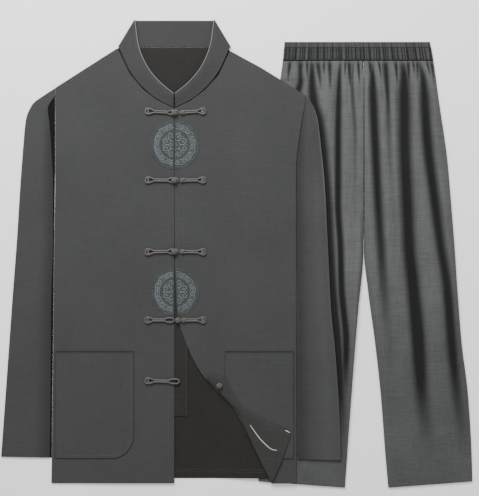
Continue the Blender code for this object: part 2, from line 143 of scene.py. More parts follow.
def close_shell(name, upper, lower, material, painted_shading=None):
    """A closed cloth shell between two grids of points in metres. The last argument is painted shade per point,
    kept as an attribute that darkens the cloth's colour and, where negative, lightens it as a painted
    highlight.
    """
    row_count, column_count = upper.shape[:2]
    count = row_count * column_count
    index = np.arange(count).reshape(row_count, column_count)
    a, b = index[:-1, :-1].ravel(), index[1:, :-1].ravel()
    c, d = index[1:, 1:].ravel(), index[:-1, 1:].ravel()
    top = np.stack((a, b, c, d), -1)
    bottom = np.stack((a, d, c, b), -1) + count
    ring = np.concatenate((index[:, 0], index[-1, 1:], index[-2::-1, -1], index[0, -2:0:-1]))
    onward = np.roll(ring, -1)
    rim = np.stack((ring + count, onward + count, onward, ring), -1)
    points = np.concatenate((upper.reshape(-1, 3), lower.reshape(-1, 3)))
    mesh = bpy.data.meshes.new(name)
    mesh.from_pydata(points.tolist(), [], np.concatenate((top, bottom, rim)).tolist())
    mesh.materials.append(material)
    mesh.attributes.new("fold_depth", "FLOAT", "POINT")
    values = np.zeros(2 * count, np.float32) if painted_shading is None else np.tile(painted_shading.ravel(), 2).astype(np.float32)
    mesh.attributes["fold_depth"].data.foreach_set("value", values)
    mesh.shade_smooth()
    obj = bpy.data.objects.new(name, mesh)
    bpy.context.scene.collection.objects.link(obj)
    return obj


def add_shell(name, across, down, under, wall, material, middle_x, top_y, painted_shading=None):
    """A panel of cloth that lies on the surface under it, with rounded edges."""
    across_edge = np.minimum(np.abs(across - across[:, :1]), np.abs(across - across[:, -1:]))
    down_edge = np.minimum(np.abs(down - down[:1]), np.abs(down - down[-1:]))
    inside = np.clip(np.minimum(across_edge, down_edge) / wall, 0.0, 1.0)
    half = wall / 2 * (0.25 + 0.75 * np.sqrt(1 - (1 - inside) ** 2))
    grids = []
    for height in (under + wall / 2 + half, under + wall / 2 - half):
        grids.append(np.stack((middle_x + across * MM, top_y - down * MM, height * MM), -1))
    return close_shell(name, *grids, material, painted_shading)


def place(obj, slot, *nodes):
    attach(obj, "root")
    if nodes:
        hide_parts(*nodes)
    return obj


def cloth_material(name, colour, painted_shade_tone=0.3, slub=1.0):
    """A slubbed plain weave: long thick threads across and finer ones down, with painted shade from a per-point
    attribute that darkens the colour towards a set tone, and a painted highlight where that attribute is
    negative.
    """
    material = bpy.data.materials.new(name)
    material.use_nodes = True
    tree = material.node_tree
    shader = tree.nodes["Principled BSDF"]
    shader.inputs["Roughness"].default_value = 0.88
    shader.inputs["Specular IOR Level"].default_value = 0.15
    shader.inputs["Sheen Weight"].default_value = 0.05
    shader.inputs["Sheen Roughness"].default_value = 0.6

    def node(kind, **settings):
        made = tree.nodes.new(kind)
        for key, value in settings.items():
            setattr(made, key, value)
        return made

    def noise(scale, stretch, detail, distortion=0.0):
        mapping = node("ShaderNodeMapping")
        mapping.inputs["Scale"].default_value = stretch
        tree.links.new(place_of.outputs["Object"], mapping.inputs["Vector"])
        made = node("ShaderNodeTexNoise")
        made.inputs["Scale"].default_value = scale
        made.inputs["Detail"].default_value = detail
        made.inputs["Distortion"].default_value = distortion
        tree.links.new(mapping.outputs["Vector"], made.inputs["Vector"])
        return made.outputs["Fac"]

    def mix(a, b, factor):
        made = node("ShaderNodeMix", data_type="FLOAT")
        made.inputs["Factor"].default_value = factor
        tree.links.new(a, made.inputs["A"])
        tree.links.new(b, made.inputs["B"])
        return made.outputs["Result"]

    place_of = node("ShaderNodeTexCoord")
    weft = noise(1.0, (38.0, 780.0, 38.0), 3.0, 0.2)
    warp = noise(1.0, (640.0, 30.0, 30.0), 3.0, 0.2)
    cloudy = noise(7.0, (1.0, 1.0, 1.0), 4.0)
    threads = mix(weft, warp, 0.4)
    tone = mix(threads, cloudy, 0.3)
    spread = node("ShaderNodeMapRange")
    spread.inputs["From Min"].default_value = 0.34
    spread.inputs["From Max"].default_value = 0.66
    spread.inputs["To Min"].default_value = 1.0 - 0.3 * slub
    spread.inputs["To Max"].default_value = 1.0 + 0.3 * slub
    tree.links.new(tone, spread.inputs["Value"])
    # Painted shade: this attribute scales the base colour down to the set tone at 1, and above the colour where
    # negative, as a painted highlight.
    painted_shading = node("ShaderNodeAttribute", attribute_name="fold_depth")
    darkened = node("ShaderNodeMapRange")
    darkened.clamp = False
    darkened.inputs["To Min"].default_value = 1.0
    darkened.inputs["To Max"].default_value = painted_shade_tone
    tree.links.new(painted_shading.outputs["Fac"], darkened.inputs["Value"])
    both = node("ShaderNodeMath", operation="MULTIPLY")
    tree.links.new(spread.outputs["Result"], both.inputs[0])
    tree.links.new(darkened.outputs["Result"], both.inputs[1])
    base = node("ShaderNodeVectorMath", operation="SCALE")
    base.inputs[0].default_value = colour
    tree.links.new(both.outputs["Value"], base.inputs["Scale"])
    tree.links.new(base.outputs["Vector"], shader.inputs["Base Color"])
    bump = node("ShaderNodeBump")
    bump.inputs["Strength"].default_value = 0.5
    bump.inputs["Distance"].default_value = 0.0007
    tree.links.new(threads, bump.inputs["Height"])
    tree.links.new(bump.outputs["Normal"], shader.inputs["Normal"])
    return material


# Its painted shade takes the fold bottoms down to a tenth of the colour.
trouser_cloth = cloth_material("trouser_cloth", (0.079, 0.081, 0.081), painted_shade_tone=0.1)


def leg_hem(across, inner, outer):
    return INNER_HEM_DOWN + (OUTER_HEM_DOWN - INNER_HEM_DOWN) * (across - inner) / (outer - inner)


def add_trouser_back(side, table, sign):
    down = np.concatenate(([BAND_DOWN + 0.3, BAND_DOWN + 1.5], np.arange(48, 884, 12), [889.8, 891.0]))
    down = down[:, None]
    inner = smooth(table, 2)(down) + sign * LEG_SEAM
    outer = smooth(table, 1)(down)
    share = steps(190.0, 8.0)[None, :]
    if sign < 0:
        share = 1.0 - share[:, ::-1]
    across = inner + share * (outer - inner)
    hem = leg_hem(across, inner - sign * LEG_SEAM, outer)
    lower = np.where(down > BAND_DOWN + 1.0, down * hem / INNER_HEM_DOWN, down) + 0 * across
    if sign < 0:
        across, lower = across[:, ::-1], lower[:, ::-1]
    obj = add_shell(
        f"trousers_back_{side}_cloth", across, lower, 0 * across, WALL, trouser_cloth,
        TROUSERS_MIDDLE_X, TROUSERS_TOP_Y,
    )
    return place(obj, "trouser_cloth", f"trousers_back_{side}")


trousers_back_left = add_trouser_back("left", LEFT_LEG, 1.0)
trousers_back_right = add_trouser_back("right", RIGHT_LEG, -1.0)


# Trouser fronts
# The front of each leg, gathered into the waistband, so that its width stands up in long soft folds that
# open out and sink towards the hem. The jacket presses the outer folds of the right leg flat.
FOLD_HEIGHTS = (
    (38, 1.6), (60, 4.5), (100, 8.0), (200, 10.0), (416, 9.5), (606, 7.5), (722, 5.0), (814, 2.6), (891, 0.8),
)
LEFT_TROUGHS = (
    (
        (38, 17, 0.4), (78, 18, 1.0), (200, 23, 1.0), (324, 29, 0.9), (416, 35, 0.8), (494, 40, 0.5),
        (606, 52, 0.1), (722, 64, 0), (891, 80, 0),
    ),
    (
        (38, 45, 0.5), (78, 47, 0.7), (200, 51, 0.4), (324, 58, 0.1), (494, 70, 0), (606, 82, 0),
        (722, 92, 0), (891, 112, 0),
    ),
    (
        (38, 77, 0.6), (78, 81, 1.0), (200, 82, 1.0), (324, 87, 1.0), (416, 91, 1.0), (494, 99, 1.0),
        (606, 109, 1.0), (722, 117, 0.9), (814, 131, 0.6), (891, 144, 0),
    ),
    (
        (38, 110, 0.5), (78, 119, 0.9), (200, 127, 1.0), (324, 142, 1.0), (416, 154, 0.9), (494, 166, 0.9),
        (606, 175, 0.8), (722, 187, 0.8), (814, 198, 0.5), (891, 200, 0),
    ),
)
RIGHT_TROUGHS = (
    ((38, -128, 0.8), (78, -126, 0.9), (110, -134, 1), (200, -144, 1), (891, -150, 1)),
    (
        (38, -103, 0.7), (78, -103, 1.0), (122, -100, 1.0), (158, -90, 1.0), (200, -84, 1.0), (324, -73, 1.0),
        (416, -68, 1.0), (494, -64, 1.0), (606, -55, 1.0), (722, -47, 1.0), (814, -43.5, 1.0), (891, -47, 0.2),
    ),
    (
        (38, -46, 0.6), (78, -49, 1.0), (200, -51, 1.0), (324, -51, 1.0), (416, -46, 1.0), (494, -44, 1.0),
        (606, -35, 0.9), (722, -38, 0.3), (814, -38, 0), (891, -43, 0),
    ),
    (
        (38, -20, 0.5), (78, -23, 0.6), (200, -17, 0.4), (324, -18, 0.1), (494, -24, 0), (606, -25, 0),
        (722, -31, 0), (814, -34.5, 0), (891, -40, 0),
    ),
)
CENTRE_HEIGHTS = ((38, 0.9), (330, 0.8), (418, 0.05), (891, 0.05))
TROUSER_CREASES = (
    Crease(8, 44, 12, 120, 3.0, -1.1),
    Crease(31, 46, 34, 165, 3.5, -1.3),
    Crease(38, 40, 40, 96, 2.4, -1.0),
    Crease(59, 44, 66, 150, 3.2, -1.2),
    Crease(70, 40, 72, 90, 2.2, -0.9),
    Crease(92, 42, 101, 150, 3.4, -1.4),
    Crease(103, 40, 109, 92, 2.4, -0.9),
    Crease(122, 46, 137, 190, 3.6, -1.3),
    Crease(36, 240, 47, 420, 5.0, -0.9),
    Crease(66, 300, 78, 470, 6.0, -1.1),
    Crease(104, 240, 116, 420, 5.0, -1.2),
    Crease(120, 470, 140, 700, 6.0, -1.0),
    Crease(60, 520, 84, 760, 8.0, 0.9),
    Crease(96, 760, 122, 880, 7.0, 0.6),
    Crease(160, 700, 176, 860, 7.0, 0.6),
    Crease(-10, 44, -9, 130, 3.0, -1.1),
    Crease(-34, 42, -37, 150, 3.2, -1.3),
    Crease(-60, 44, -62, 170, 3.6, -1.4),
    Crease(-75, 40, -77, 104, 2.6, -1.0),
    Crease(-88, 44, -90, 130, 3.0, -1.2),
    Crease(-115, 42, -116, 82, 2.6, -1.0),
    Crease(-140, 42, -146, 84, 2.8, -0.9),
    Crease(-33, 230, -33, 430, 5.0, -1.0),
    Crease(-58, 420, -48, 640, 4.0, -1.0),
    Crease(-12, 470, -22, 700, 5.0, 0.8),
)
LEFT_HALF_WIDTHS = (9.0, 5.0, 14.0, 11.0)
RIGHT_HALF_WIDTHS = (10.0, 11.0, 6.5, 4.0)
Wedge = namedtuple("Wedge", "across across_end down_end half_width")
WEDGES = (
    Wedge(12, 17, 96, 3.2),
    Wedge(30, 36, 78, 2.6),
    Wedge(43, 54, 200, 6.0),
    Wedge(64, 68, 96, 3.4),
    Wedge(89, 91, 112, 3.6),
    Wedge(99, 102, 72, 2.6),
    Wedge(107, 108, 84, 3.0),
    Wedge(126, 134, 76, 2.4),
    Wedge(135, 141, 90, 3.2),
    Wedge(-1, 0, 76, 2.6),
    Wedge(-11, -8, 92, 2.8),
    Wedge(-29, -26, 108, 4.2),
    Wedge(-36, -38, 74, 2.4),
    Wedge(-68, -66, 112, 4.4),
    Wedge(-79, -80, 78, 2.8),
    Wedge(-92, -84, 104, 5.0),
    Wedge(-113, -112, 84, 2.8),
    Wedge(-125, -128, 104, 4.6),
    Wedge(-147, -152, 86, 4.2),
)
JACKET_PRESS = 0.9
LOW_LEG_SHADE = 0.3


def valley(distance, half_width):
    """1 at a trough's bottom, falling softly to 0 beyond its half width."""
    return np.exp(-(np.abs(distance / half_width) ** 2.6))


def add_trouser_front(side, table, troughs, sign):
    down = np.concatenate(
        ([38.3, 38.9, 39.6], np.arange(42, 110, 3.0), np.arange(110, 884, 4.5), [887, 889.4, 890.4, 891.0])
    )[:, None]
    fold_height = smooth(FOLD_HEIGHTS)(down)
    inner = smooth(table, 2)(down)
    outer = smooth(table, 1)(down)
    marks = [(inner + sign * LEG_SEAM, smooth(CENTRE_HEIGHTS)(down))]
    for trough in troughs if sign > 0 else troughs[::-1]:
        marks.append((smooth(trough)(down), 1.0 - smooth(trough, 2)(down)))
    marks.append((outer, 0.0 * down))
    share = np.linspace(0, 1, 21)[None, :]
    across, high = [], []
    for (start, low), (end, next_low) in zip(marks, marks[1:]):
        base = low + share * (next_low - low)
        crest = np.sin(math.pi * np.clip(share, 1e-6, 1 - 1e-6)) ** 0.75
        across.append((start + share * (end - start))[:, :-1])
        high.append((base + crest * (1.0 - base))[:, :-1])
    across = np.hstack(across + [marks[-1][0]])
    high = np.hstack(high + [marks[-1][1]])
    down_here = down + 0 * across
    depths = np.zeros_like(across)
    half_widths = LEFT_HALF_WIDTHS if sign > 0 else RIGHT_HALF_WIDTHS[::-1]
    widening = 0.45 + 0.55 * smooth_step((down_here - 40.0) / 90.0)
    for (trough_at, low), half_width in zip(marks[1:-1], half_widths):
        part = (1.0 - low) * valley(across - trough_at, half_width * widening)
        depths = np.maximum(depths, part)
    wedges = np.zeros_like(across)
    for wedge in WEDGES:
        run = np.clip((down_here - BAND_DOWN) / (wedge.down_end - BAND_DOWN), 0.0, 1.0)
        middle = wedge.across + run * (wedge.across_end - wedge.across)
        part = valley(across - middle, wedge.half_width * (1.15 - run)) * (1.0 - run**3)
        wedges = np.maximum(wedges, part)
    high = np.minimum(high, 1.0 - 0.9 * np.maximum(depths, 0.8 * wedges))
    if sign < 0:
        cover = smooth_step((marks[3][0] + 0.5 - across) / 5.0) * smooth_step((down_here - 66.0) / 20.0)
        band_press = np.where(across < marks[3][0] + 0.5, 0.45, 1.0)
        pressed = np.where(down_here > 76.0, JACKET_PRESS / fold_height, band_press)
        fold_height = fold_height * (1 + (pressed - 1) * np.maximum(cover, (band_press < 1) * 1.0))
    hem = leg_hem(across, inner, outer)
    lower = np.where(down_here > BAND_DOWN + 1.0, down_here * hem / INNER_HEM_DOWN, down_here)
    height = WALL + GAP + fold_height * high
    small = creased(across, down_here, TROUSER_CREASES)
    room = smooth_step((height - WALL - GAP) / 3.0)
    height = height + small * room
    fading = smooth_step((900.0 - down_here) / 330.0)
    near_band = smooth_step((down_here - 34.0) / 14.0)
    # Painted shade: dark in the fold bottoms and wedges, fading towards the hem, and darker over the lower
    # legs.
    painted_shading = np.maximum(depths * fading, wedges * 0.9) * near_band + 0.12 * (1.0 - high) * fading
    painted_shading = np.clip(painted_shading + LOW_LEG_SHADE * smooth_step((down_here - 380.0) / 330.0), 0.0, 1.0)
    if sign < 0:
        across, lower, height, painted_shading = (grid[:, ::-1] for grid in (across, lower, height, painted_shading))
    obj = add_shell(
        f"trousers_front_{side}_cloth", across, lower, height, WALL, trouser_cloth,
        TROUSERS_MIDDLE_X, TROUSERS_TOP_Y, painted_shading,
    )
    return place(obj, "trouser_cloth", f"trousers_front_{side}")


trousers_front_left = add_trouser_front("left", LEFT_LEG, LEFT_TROUGHS, 1.0)
trousers_front_right = add_trouser_front("right", RIGHT_LEG, RIGHT_TROUGHS, -1.0)


# Waistband
# The casing round the elastic, in the trousers' own cloth, drawn up into fine even gathers. The front
# lies lower than the back, so a strip of the back's inside shows above it.
BAND_TOP_DOWN = 11.0
GATHERS = 48
GATHER_HEIGHT = 1.3
BAND_SHADE = 0.3


def add_band(name, top, bottom, base, height, material):
    down = np.concatenate(([0, 0.5, 1.2], np.linspace(2.4, bottom - top - 2.4, 9), [bottom - top - 1.2]))
    down = (top + np.concatenate((down, [bottom - top - 0.5, bottom - top])))[:, None]
    left, right = smooth(RIGHT_LEG, 1)(down), smooth(LEFT_LEG, 1)(down)
    turn = np.linspace(0, 1, GATHERS * 8 + 1)[None, :]
    across = left + turn * (right - left)
    count = turn * GATHERS
    lean = 0.22 * np.sin(count * 2.1) + 0.15 * np.sin(count * 0.73 + 1)
    ridge = np.abs(np.sin(math.pi * (count + lean))) ** 0.8
    size = 0.72 + 0.28 * np.sin(count * 1.7 + np.sin(count * 0.9) * 2)
    drawn = 1.0 - 0.35 * np.exp(-(((down - (top + bottom) / 2) / 2.2) ** 2)) * (height > 1)
    wave = height * ridge * size * drawn
    # Painted shade: darker in the valleys between the gathers and along the band's top and bottom edges, with
    # BAND_SHADE darkening the whole band a little.
    shade = np.clip(1.4 - ridge * (0.75 + 0.5 * size), 0, 1) * (0.55 + 0.45 * np.sin(count * 1.3) ** 2)
    ends = np.exp(-(((bottom - down) / 2.6) ** 2)) + np.exp(-(((down - top) / 1.6) ** 2))
    painted_shading = np.clip((shade + 0.5 * ends) * min(1.0, height) + BAND_SHADE, 0, 1)
    obj = add_shell(
        name, across, down + 0 * across, base + wave, WALL, material, TROUSERS_MIDDLE_X, TROUSERS_TOP_Y, painted_shading
    )
    return place(obj, "trouser_cloth", name.replace("_cloth", ""))


waistband_back = add_band("waistband_back_cloth", 0.0, BAND_DOWN, 0.0, 0.5, trouser_cloth)
band_base = WALL + 2 * GAP + 0.5
waistband_front = add_band(
    "waistband_front_cloth", BAND_TOP_DOWN, BAND_DOWN, band_base, GATHER_HEIGHT, trouser_cloth
)


# Jacket back
# The jacket's back, of the same cloth as the fronts. Its inside shows in the neck and between the open fronts,
# where its colour is much darker than the fronts': partly the darker inside of the cloth, partly painted shade.
JACKET_MIDDLE_X = -0.1245
JACKET_TOP_Y = 0.4682
SETTLED = 0.02
LIFT = 4.2
LIFT_RUN = 90.0
BACK_HEM_DOWN = 916.0
SIDES = (
    (56, -238, 262), (150, -238, 262), (166, -238, 261), (190, -238, 257), (230, -238, 250), (300, -238, 243),
    (440, -240, 243), (870, -245, 243), (926, -246, 243),
)
SHOULDERS = (
    (-257, 148), (-185, 102), (-114, 57), (-90, 107), (-62, 140), (-32, 162), (0, 177), (32, 162), (60, 141),
    (88, 111), (111, 62), (171, 95), (213, 121), (262, 152),
)
BACK_NECK = ((-114, 57), (-108, 55.2), (104, 55.2), (111, 62))
HIDDEN_EDGE = ((46, 220), (160, 205), (280, 187), (480, 175), (760, 169), (926, 168))
BACK_CREASES = (
    Crease(8, 640, 30, 900, 9.0, 0.5),
    Crease(70, 700, 96, 905, 10.0, 0.6),
    Crease(130, 760, 150, 910, 8.0, 0.4),
    Crease(-40, 70, 20, 150, 9.0, 0.3),
)

side_left = smooth(SIDES, 1)
side_right = smooth(SIDES, 2)


def straight(rows, at, column=1):
    """A table's column by straight steps between the rows."""
    return np.interp(at, [row[0] for row in rows], [row[column] for row in rows])


def lift(across, down):
    """How far the jacket is held up where it lies over the trousers."""
    return LIFT * smooth_step((across - straight(HIDDEN_EDGE, down) + LIFT_RUN) / (LIFT_RUN - 4.0))


def torso_grid(left_at, right_at, top_at, hem, pitch):
    """Across and down of a torso panel's points, in columns from its top edge to its hem."""
    fraction = steps(float(right_at(60.0) - left_at(60.0)), pitch)[None, :]
    share = steps(hem - 100.0, pitch)[:, None]
    top = top_at(left_at(60.0) + fraction * (right_at(60.0) - left_at(60.0)))
    down = top + share * (hem - top)
    across = left_at(down) + fraction * (right_at(down) - left_at(down))
    return across, down


def back_neck(across):
    in_neck = (across > BACK_NECK[0][0]) & (across < BACK_NECK[-1][0])
    return np.where(in_neck, straight(BACK_NECK, across), straight(SHOULDERS, across))


# Far darker than the fronts' cloth: the darker inside of the cloth, with painted shade added for the neck and
# the gap between the fronts.
jacket_inside = cloth_material("jacket_inside", (0.017, 0.0156, 0.0143), slub=0.7)
across, down = torso_grid(side_left, side_right, back_neck, BACK_HEM_DOWN, 6.0)
under = lift(across, down) - SETTLED + creased(across, down, BACK_CREASES)
jacket_back = add_shell(
    "jacket_back_cloth", across, down, under, WALL, jacket_inside, JACKET_MIDDLE_X, JACKET_TOP_Y
)
place(jacket_back, "jacket_inside", "jacket_back")


# Jacket fronts
# The right and left front, of dark grey slubbed cloth that lies nearly flat, with a few soft creases down it.
# The left front's free edge peels away to the side below the third frog.
SEAM = 0.15
FRONT_HEM_DOWN = 926.0
FRONT_RISE = 1.7
FRONT_HALF = 240.0
FRONT_RUN = 150.0
PEELED_EDGE = (
    (56, 0), (476, 0.5), (540, 3), (593, 6), (638, 20), (674, 35), (708, 55), (737, 80), (777, 118), (806, 136),
    (832, 148), (880, 171), (926, 194),
)
FRONT_CREASES = (
    Crease(-206, 180, -188, 420, 16.0, 0.4),
    Crease(-150, 330, -160, 640, 20.0, -0.3),
    Crease(-58, 380, -66, 590, 12.0, 0.3),
    Crease(-32, 650, -40, 905, 13.0, -0.3),
    Crease(226, 190, 227, 640, 7.0, -0.25),
    Crease(192, 290, 202, 655, 15.0, 0.4),
    Crease(112, 430, 146, 700, 18.0, -0.3),
)


def front_height(across, down):
    """The underside of the fronts, which rise from the side seams to the closing."""
    rise = smooth_step((FRONT_HALF - np.abs(across)) / FRONT_RUN)
    return lift(across, down) + WALL + GAP + FRONT_RISE * rise


def front_top(across, down):
    """The outer face of the fronts, with their creases."""
    return front_height(across, down) + WALL + creased(across, down, FRONT_CREASES)


def shoulder_top(across):
    return straight(SHOULDERS, across)


jacket_cloth = cloth_material("jacket_cloth", (0.0387, 0.0396, 0.0393), painted_shade_tone=0.04, slub=0.5)
across, down = torso_grid(side_left, lambda at: -SEAM + 0.0 * at, shoulder_top, FRONT_HEM_DOWN, 4.5)
jacket_front_right = add_shell(
    "jacket_front_right_cloth", across, down, front_top(across, down) - WALL, WALL, jacket_cloth,
    JACKET_MIDDLE_X, JACKET_TOP_Y,
)
place(jacket_front_right, "jacket_cloth", "jacket_front_right")
peeled_edge = smooth(PEELED_EDGE)
across, down = torso_grid(lambda at: peeled_edge(at) + SEAM, side_right, shoulder_top, FRONT_HEM_DOWN, 4.5)
jacket_front_left = add_shell(
    "jacket_front_left_cloth", across, down, front_top(across, down) - WALL, WALL, jacket_cloth,
    JACKET_MIDDLE_X, JACKET_TOP_Y,
)
place(jacket_front_left, "jacket_cloth", "jacket_front_left")


# Under-placket
# The strip sewn behind the right front's edge, which shows beside it where the left front peels away. Its
# free long edge is turned in and stitched.
PLACKET_SPAN = (-18.0, 27.0)
PLACKET_DOWNS = (192.0, 792.0)
placket_cloth = cloth_material("placket_cloth", (0.019, 0.0181, 0.0172), slub=0.8)
placket_width = PLACKET_SPAN[1] - PLACKET_SPAN[0]
placket_length = PLACKET_DOWNS[1] - PLACKET_DOWNS[0]
across = PLACKET_SPAN[0] + steps(placket_width, 4.5)[None, :] * placket_width
down = PLACKET_DOWNS[0] + steps(placket_length, 6.0)[:, None] * placket_length
across, down = across + 0 * down, down + 0 * across
under_placket = add_shell(
    "under_placket_cloth", across, down, WALL + GAP + 0 * across, WALL, placket_cloth,
    JACKET_MIDDLE_X, JACKET_TOP_Y,
)
place(under_placket, "jacket_inside", "under_placket")


# Turned corner
# The lower corner of the left front, folded back over the front so that its dark inside faces up, with the
# facing's bright edge running along it.
TurnedRow = namedtuple("TurnedRow", "low_across low_down high_across high_down")
TURNED_CROWN = 1.6
TURNED_CORNER = (
    TurnedRow(64, 716, 72, 707),
    TurnedRow(82, 735, 101, 716),
    TurnedRow(106, 760, 118, 744),
    TurnedRow(131, 788, 134, 769),
    TurnedRow(142, 815, 180, 797),
    TurnedRow(154, 842, 232, 825),
    TurnedRow(171, 878, 219, 868),
    TurnedRow(191, 918, 197, 921),
)


def row_edges(keyed, at):
    """The low and the high edge of a table's rows, each as across and down, at these keys."""
    return (smooth(keyed, column)(at)[:, None] for column in (1, 2, 3, 4))


def between(rows, row_steps, column_steps):
    """Across and down of a patch between its low and its high edge, smooth along both."""
    keyed = [(k, *row) for k, row in enumerate(rows)]
    low_across, low_down, high_across, high_down = row_edges(keyed, row_steps * (len(rows) - 1))
    share = column_steps[None, :]
    return low_across + share * (high_across - low_across), low_down + share * (high_down - low_down)


def corner_height(across, down):
    return front_height(across, down) + 2 * WALL + 4 * GAP


facing_cloth = cloth_material("facing_cloth", (0.0302, 0.0298, 0.029), slub=0.7)
share = steps(60.0, 3.0)
across, down = between(TURNED_CORNER, steps(250.0, 3.0), share)
under = corner_height(across, down) + TURNED_CROWN * np.sin(math.pi * share)[None, :]
turned_corner = add_shell(
    "front_left_turned_corner_cloth", across, down, under, WALL, facing_cloth, JACKET_MIDDLE_X, JACKET_TOP_Y
)
place(turned_corner, "jacket_inside", "front_left_turned_corner")


# Pockets
# Two large patch pockets, sewn to the fronts round the side and the bottom, with the lower inner corner
# rounded and the top edge turned down and stitched.
POCKET_TOP_DOWN = 662.0
POCKET_BOTTOM_DOWN = 876.0
POCKET_CORNER = 46.0
POCKET_CREASES = (
    Crease(-212, 636, -208, 706, 11.0, 0.5),
    Crease(-163, 640, -166, 700, 9.0, 0.7),
    Crease(-124, 642, -121, 696, 8.0, 0.4),
    Crease(196, 640, 190, 716, 13.0, 0.5),
)
MOUTH_SHADE = 0.8
POCKET_EDGE_SHADE = 0.35


def add_pocket(name, outer, inner, clear_of):
    side = 1.0 if inner > outer else -1.0
    down = POCKET_TOP_DOWN + steps(214.0, 3.5)[:, None] * 214.0
    into = np.clip(down - (POCKET_BOTTOM_DOWN - POCKET_CORNER), 0.0, POCKET_CORNER)
    drawn_in = POCKET_CORNER - np.sqrt(np.clip(POCKET_CORNER**2 - into**2, 0.0, None))
    end = clear_of(down, inner - side * drawn_in)
    across = outer + steps(150.0, 3.5)[None, :] * (end - outer)
    down = down + 0 * across
    if side < 0:
        across, down = across[:, ::-1], down[:, ::-1]
    under = front_top(across, down) + 2 * GAP + creased(across, down, POCKET_CREASES)
    edge = np.minimum(np.abs(across - across[:, :1]), np.abs(across - across[:, -1:]))
    edge = np.minimum(edge, POCKET_BOTTOM_DOWN - down)
    # Painted shadow: a dark line along the pocket's mouth and fainter ones along its sewn edges.
    mouth = np.exp(-(((down - POCKET_TOP_DOWN) / 2.4) ** 2))
    painted_shading = np.maximum(MOUTH_SHADE * mouth, POCKET_EDGE_SHADE * np.exp(-((edge / 1.4) ** 2)))
    obj = add_shell(
        f"{name}_cloth", across, down, under, WALL, jacket_cloth, JACKET_MIDDLE_X, JACKET_TOP_Y, painted_shading
    )
    return place(obj, "jacket_cloth", name)


pocket_right = add_pocket("pocket_right", -238.0, -81.0, lambda down, end: end)
pocket_left = add_pocket(
    "pocket_left", 238.0, 101.0, lambda down, end: np.maximum(np.maximum(101.0, end), peeled_edge(down) + 4.0)
)


# Sleeves
# Two long sleeves, each of an upper and an under length joined along both edges, set in at the armhole and
# turned up once at the cuff. They lie flat with soft long creases.
CUFF_DOWN = 874.0
SLEEVE_CROWN = 2.2
SLEEVE_CREASES = (
    Crease(-268, 200, -276, 430, 10.0, 0.5),
    Crease(-292, 300, -300, 560, 9.0, -0.4),
    Crease(-262, 480, -282, 760, 12.0, 0.5),
    Crease(-310, 620, -318, 850, 10.0, -0.35),
    Crease(272, 210, 270, 440, 8.0, 0.5),
    Crease(262, 380, 266, 640, 9.0, -0.4),
    Crease(300, 520, 308, 800, 9.0, 0.4),
)
RIGHT_SLEEVE = (
    TurnedRow(-238.5, 153, -238.5, 136.5),
    TurnedRow(-246, 162, -257, 148.5),
    TurnedRow(-253, 178, -284, 169),
    TurnedRow(-250, 205, -297, 200),
    TurnedRow(-246, 255, -302, 250),
    TurnedRow(-242.5, 335, -308, 330),
    TurnedRow(-242.5, 440, -315, 440),
    TurnedRow(-246, 560, -324, 560),
    TurnedRow(-247, 700, -334, 700),
    TurnedRow(-249, 875, -346.4, 873),
)
UNDER_RIGHT_SLEEVE_EDGE = ((153, -238.5), (178, -238.7), (300, -238.7), (440, -240.7), (875, -245.7))
LEFT_SLEEVE = (
    TurnedRow(262.2, 160, 268, 156),
    TurnedRow(260.4, 175, 279, 177),
    TurnedRow(256.2, 200, 286, 199),
    TurnedRow(248.4, 256, 293, 256),
    TurnedRow(244.2, 324, 300, 324),
    TurnedRow(244.5, 460, 307, 460),
    TurnedRow(246, 580, 313, 580),
    TurnedRow(246, 660, 321, 660),
    TurnedRow(246, 756, 328, 756),
    TurnedRow(246, 877, 333, 880),
)


# How strong the painted highlight along the left sleeve's outer edge is, down the sleeve.
rim = smooth(((150, 1.0), (320, 1.0), (420, 0.35), (600, 0.3), (800, 0.15), (880, 0.0)))


def add_sleeve(side, table):
    """The under and the upper length of one sleeve."""
    made = []
    keyed = [((row.low_down + row.high_down) / 2, *row) for row in table]
    at = keyed[0][0] + steps(725.0, 5.0) * (keyed[-1][0] - keyed[0][0])
    low_across, low_down, high_across, high_down = row_edges(keyed, at)
    share = steps(75.0, 3.6)[None, :]
    across = low_across + share * (high_across - low_across)
    down = low_down + share * (high_down - low_down)
    head = smooth_step((down - 150.0) / 90.0)
    cuff = 0.35 + 0.65 * smooth_step((CUFF_DOWN - down) / 160.0)
    crown = SLEEVE_CROWN * head * cuff * np.sin(math.pi * np.clip(share, 1e-6, 1 - 1e-6)) ** 0.7
    base = lift(across, down)
    soft = creased(across, down, SLEEVE_CREASES) * smooth_step(np.minimum(share, 1 - share) / 0.12)
    # Painted shade along each upper length's inner edge, beside the torso.
    shade = 0.4 * (1 - smooth_step(share / 0.4)) * head
    if side == "left":
        below_head = smooth_step((down - 150.0) / 40.0)
        # On the left sleeve, negative values paint a highlight along the outer edge and a lighter band across
        # the sleeve.
        shade = shade - 1.1 * np.exp(-(((1 - share) / 0.05) ** 2)) * below_head * rim(down)
        shade = shade - 0.22 * np.exp(-(((share - 0.72) / 0.22) ** 2)) * smooth_step((down - 240.0) / 120.0)
    for layer in ("under", "upper"):
        grids = (across, down, base + WALL + GAP + crown + soft * head)
        if layer == "under":
            edge = straight(UNDER_RIGHT_SLEEVE_EDGE, low_down) if side == "right" else low_across
            across_under = edge + share * (high_across - edge)
            grids = (across_under, down, lift(across_under, down))
        # The under lengths are painted fully dark, a painted shadow beneath the sleeves.
        grids += (np.ones_like(across) if layer == "under" else shade + 0 * across,)
        if side == "right":
            grids = tuple(grid[:, ::-1] for grid in grids)
        obj = add_shell(
            f"sleeve_{side}_{layer}_cloth", *grids[:3], WALL, jacket_cloth,
            JACKET_MIDDLE_X, JACKET_TOP_Y, grids[3],
        )
        made.append(place(obj, "jacket_cloth", f"sleeve_{side}_{layer}"))
    return made


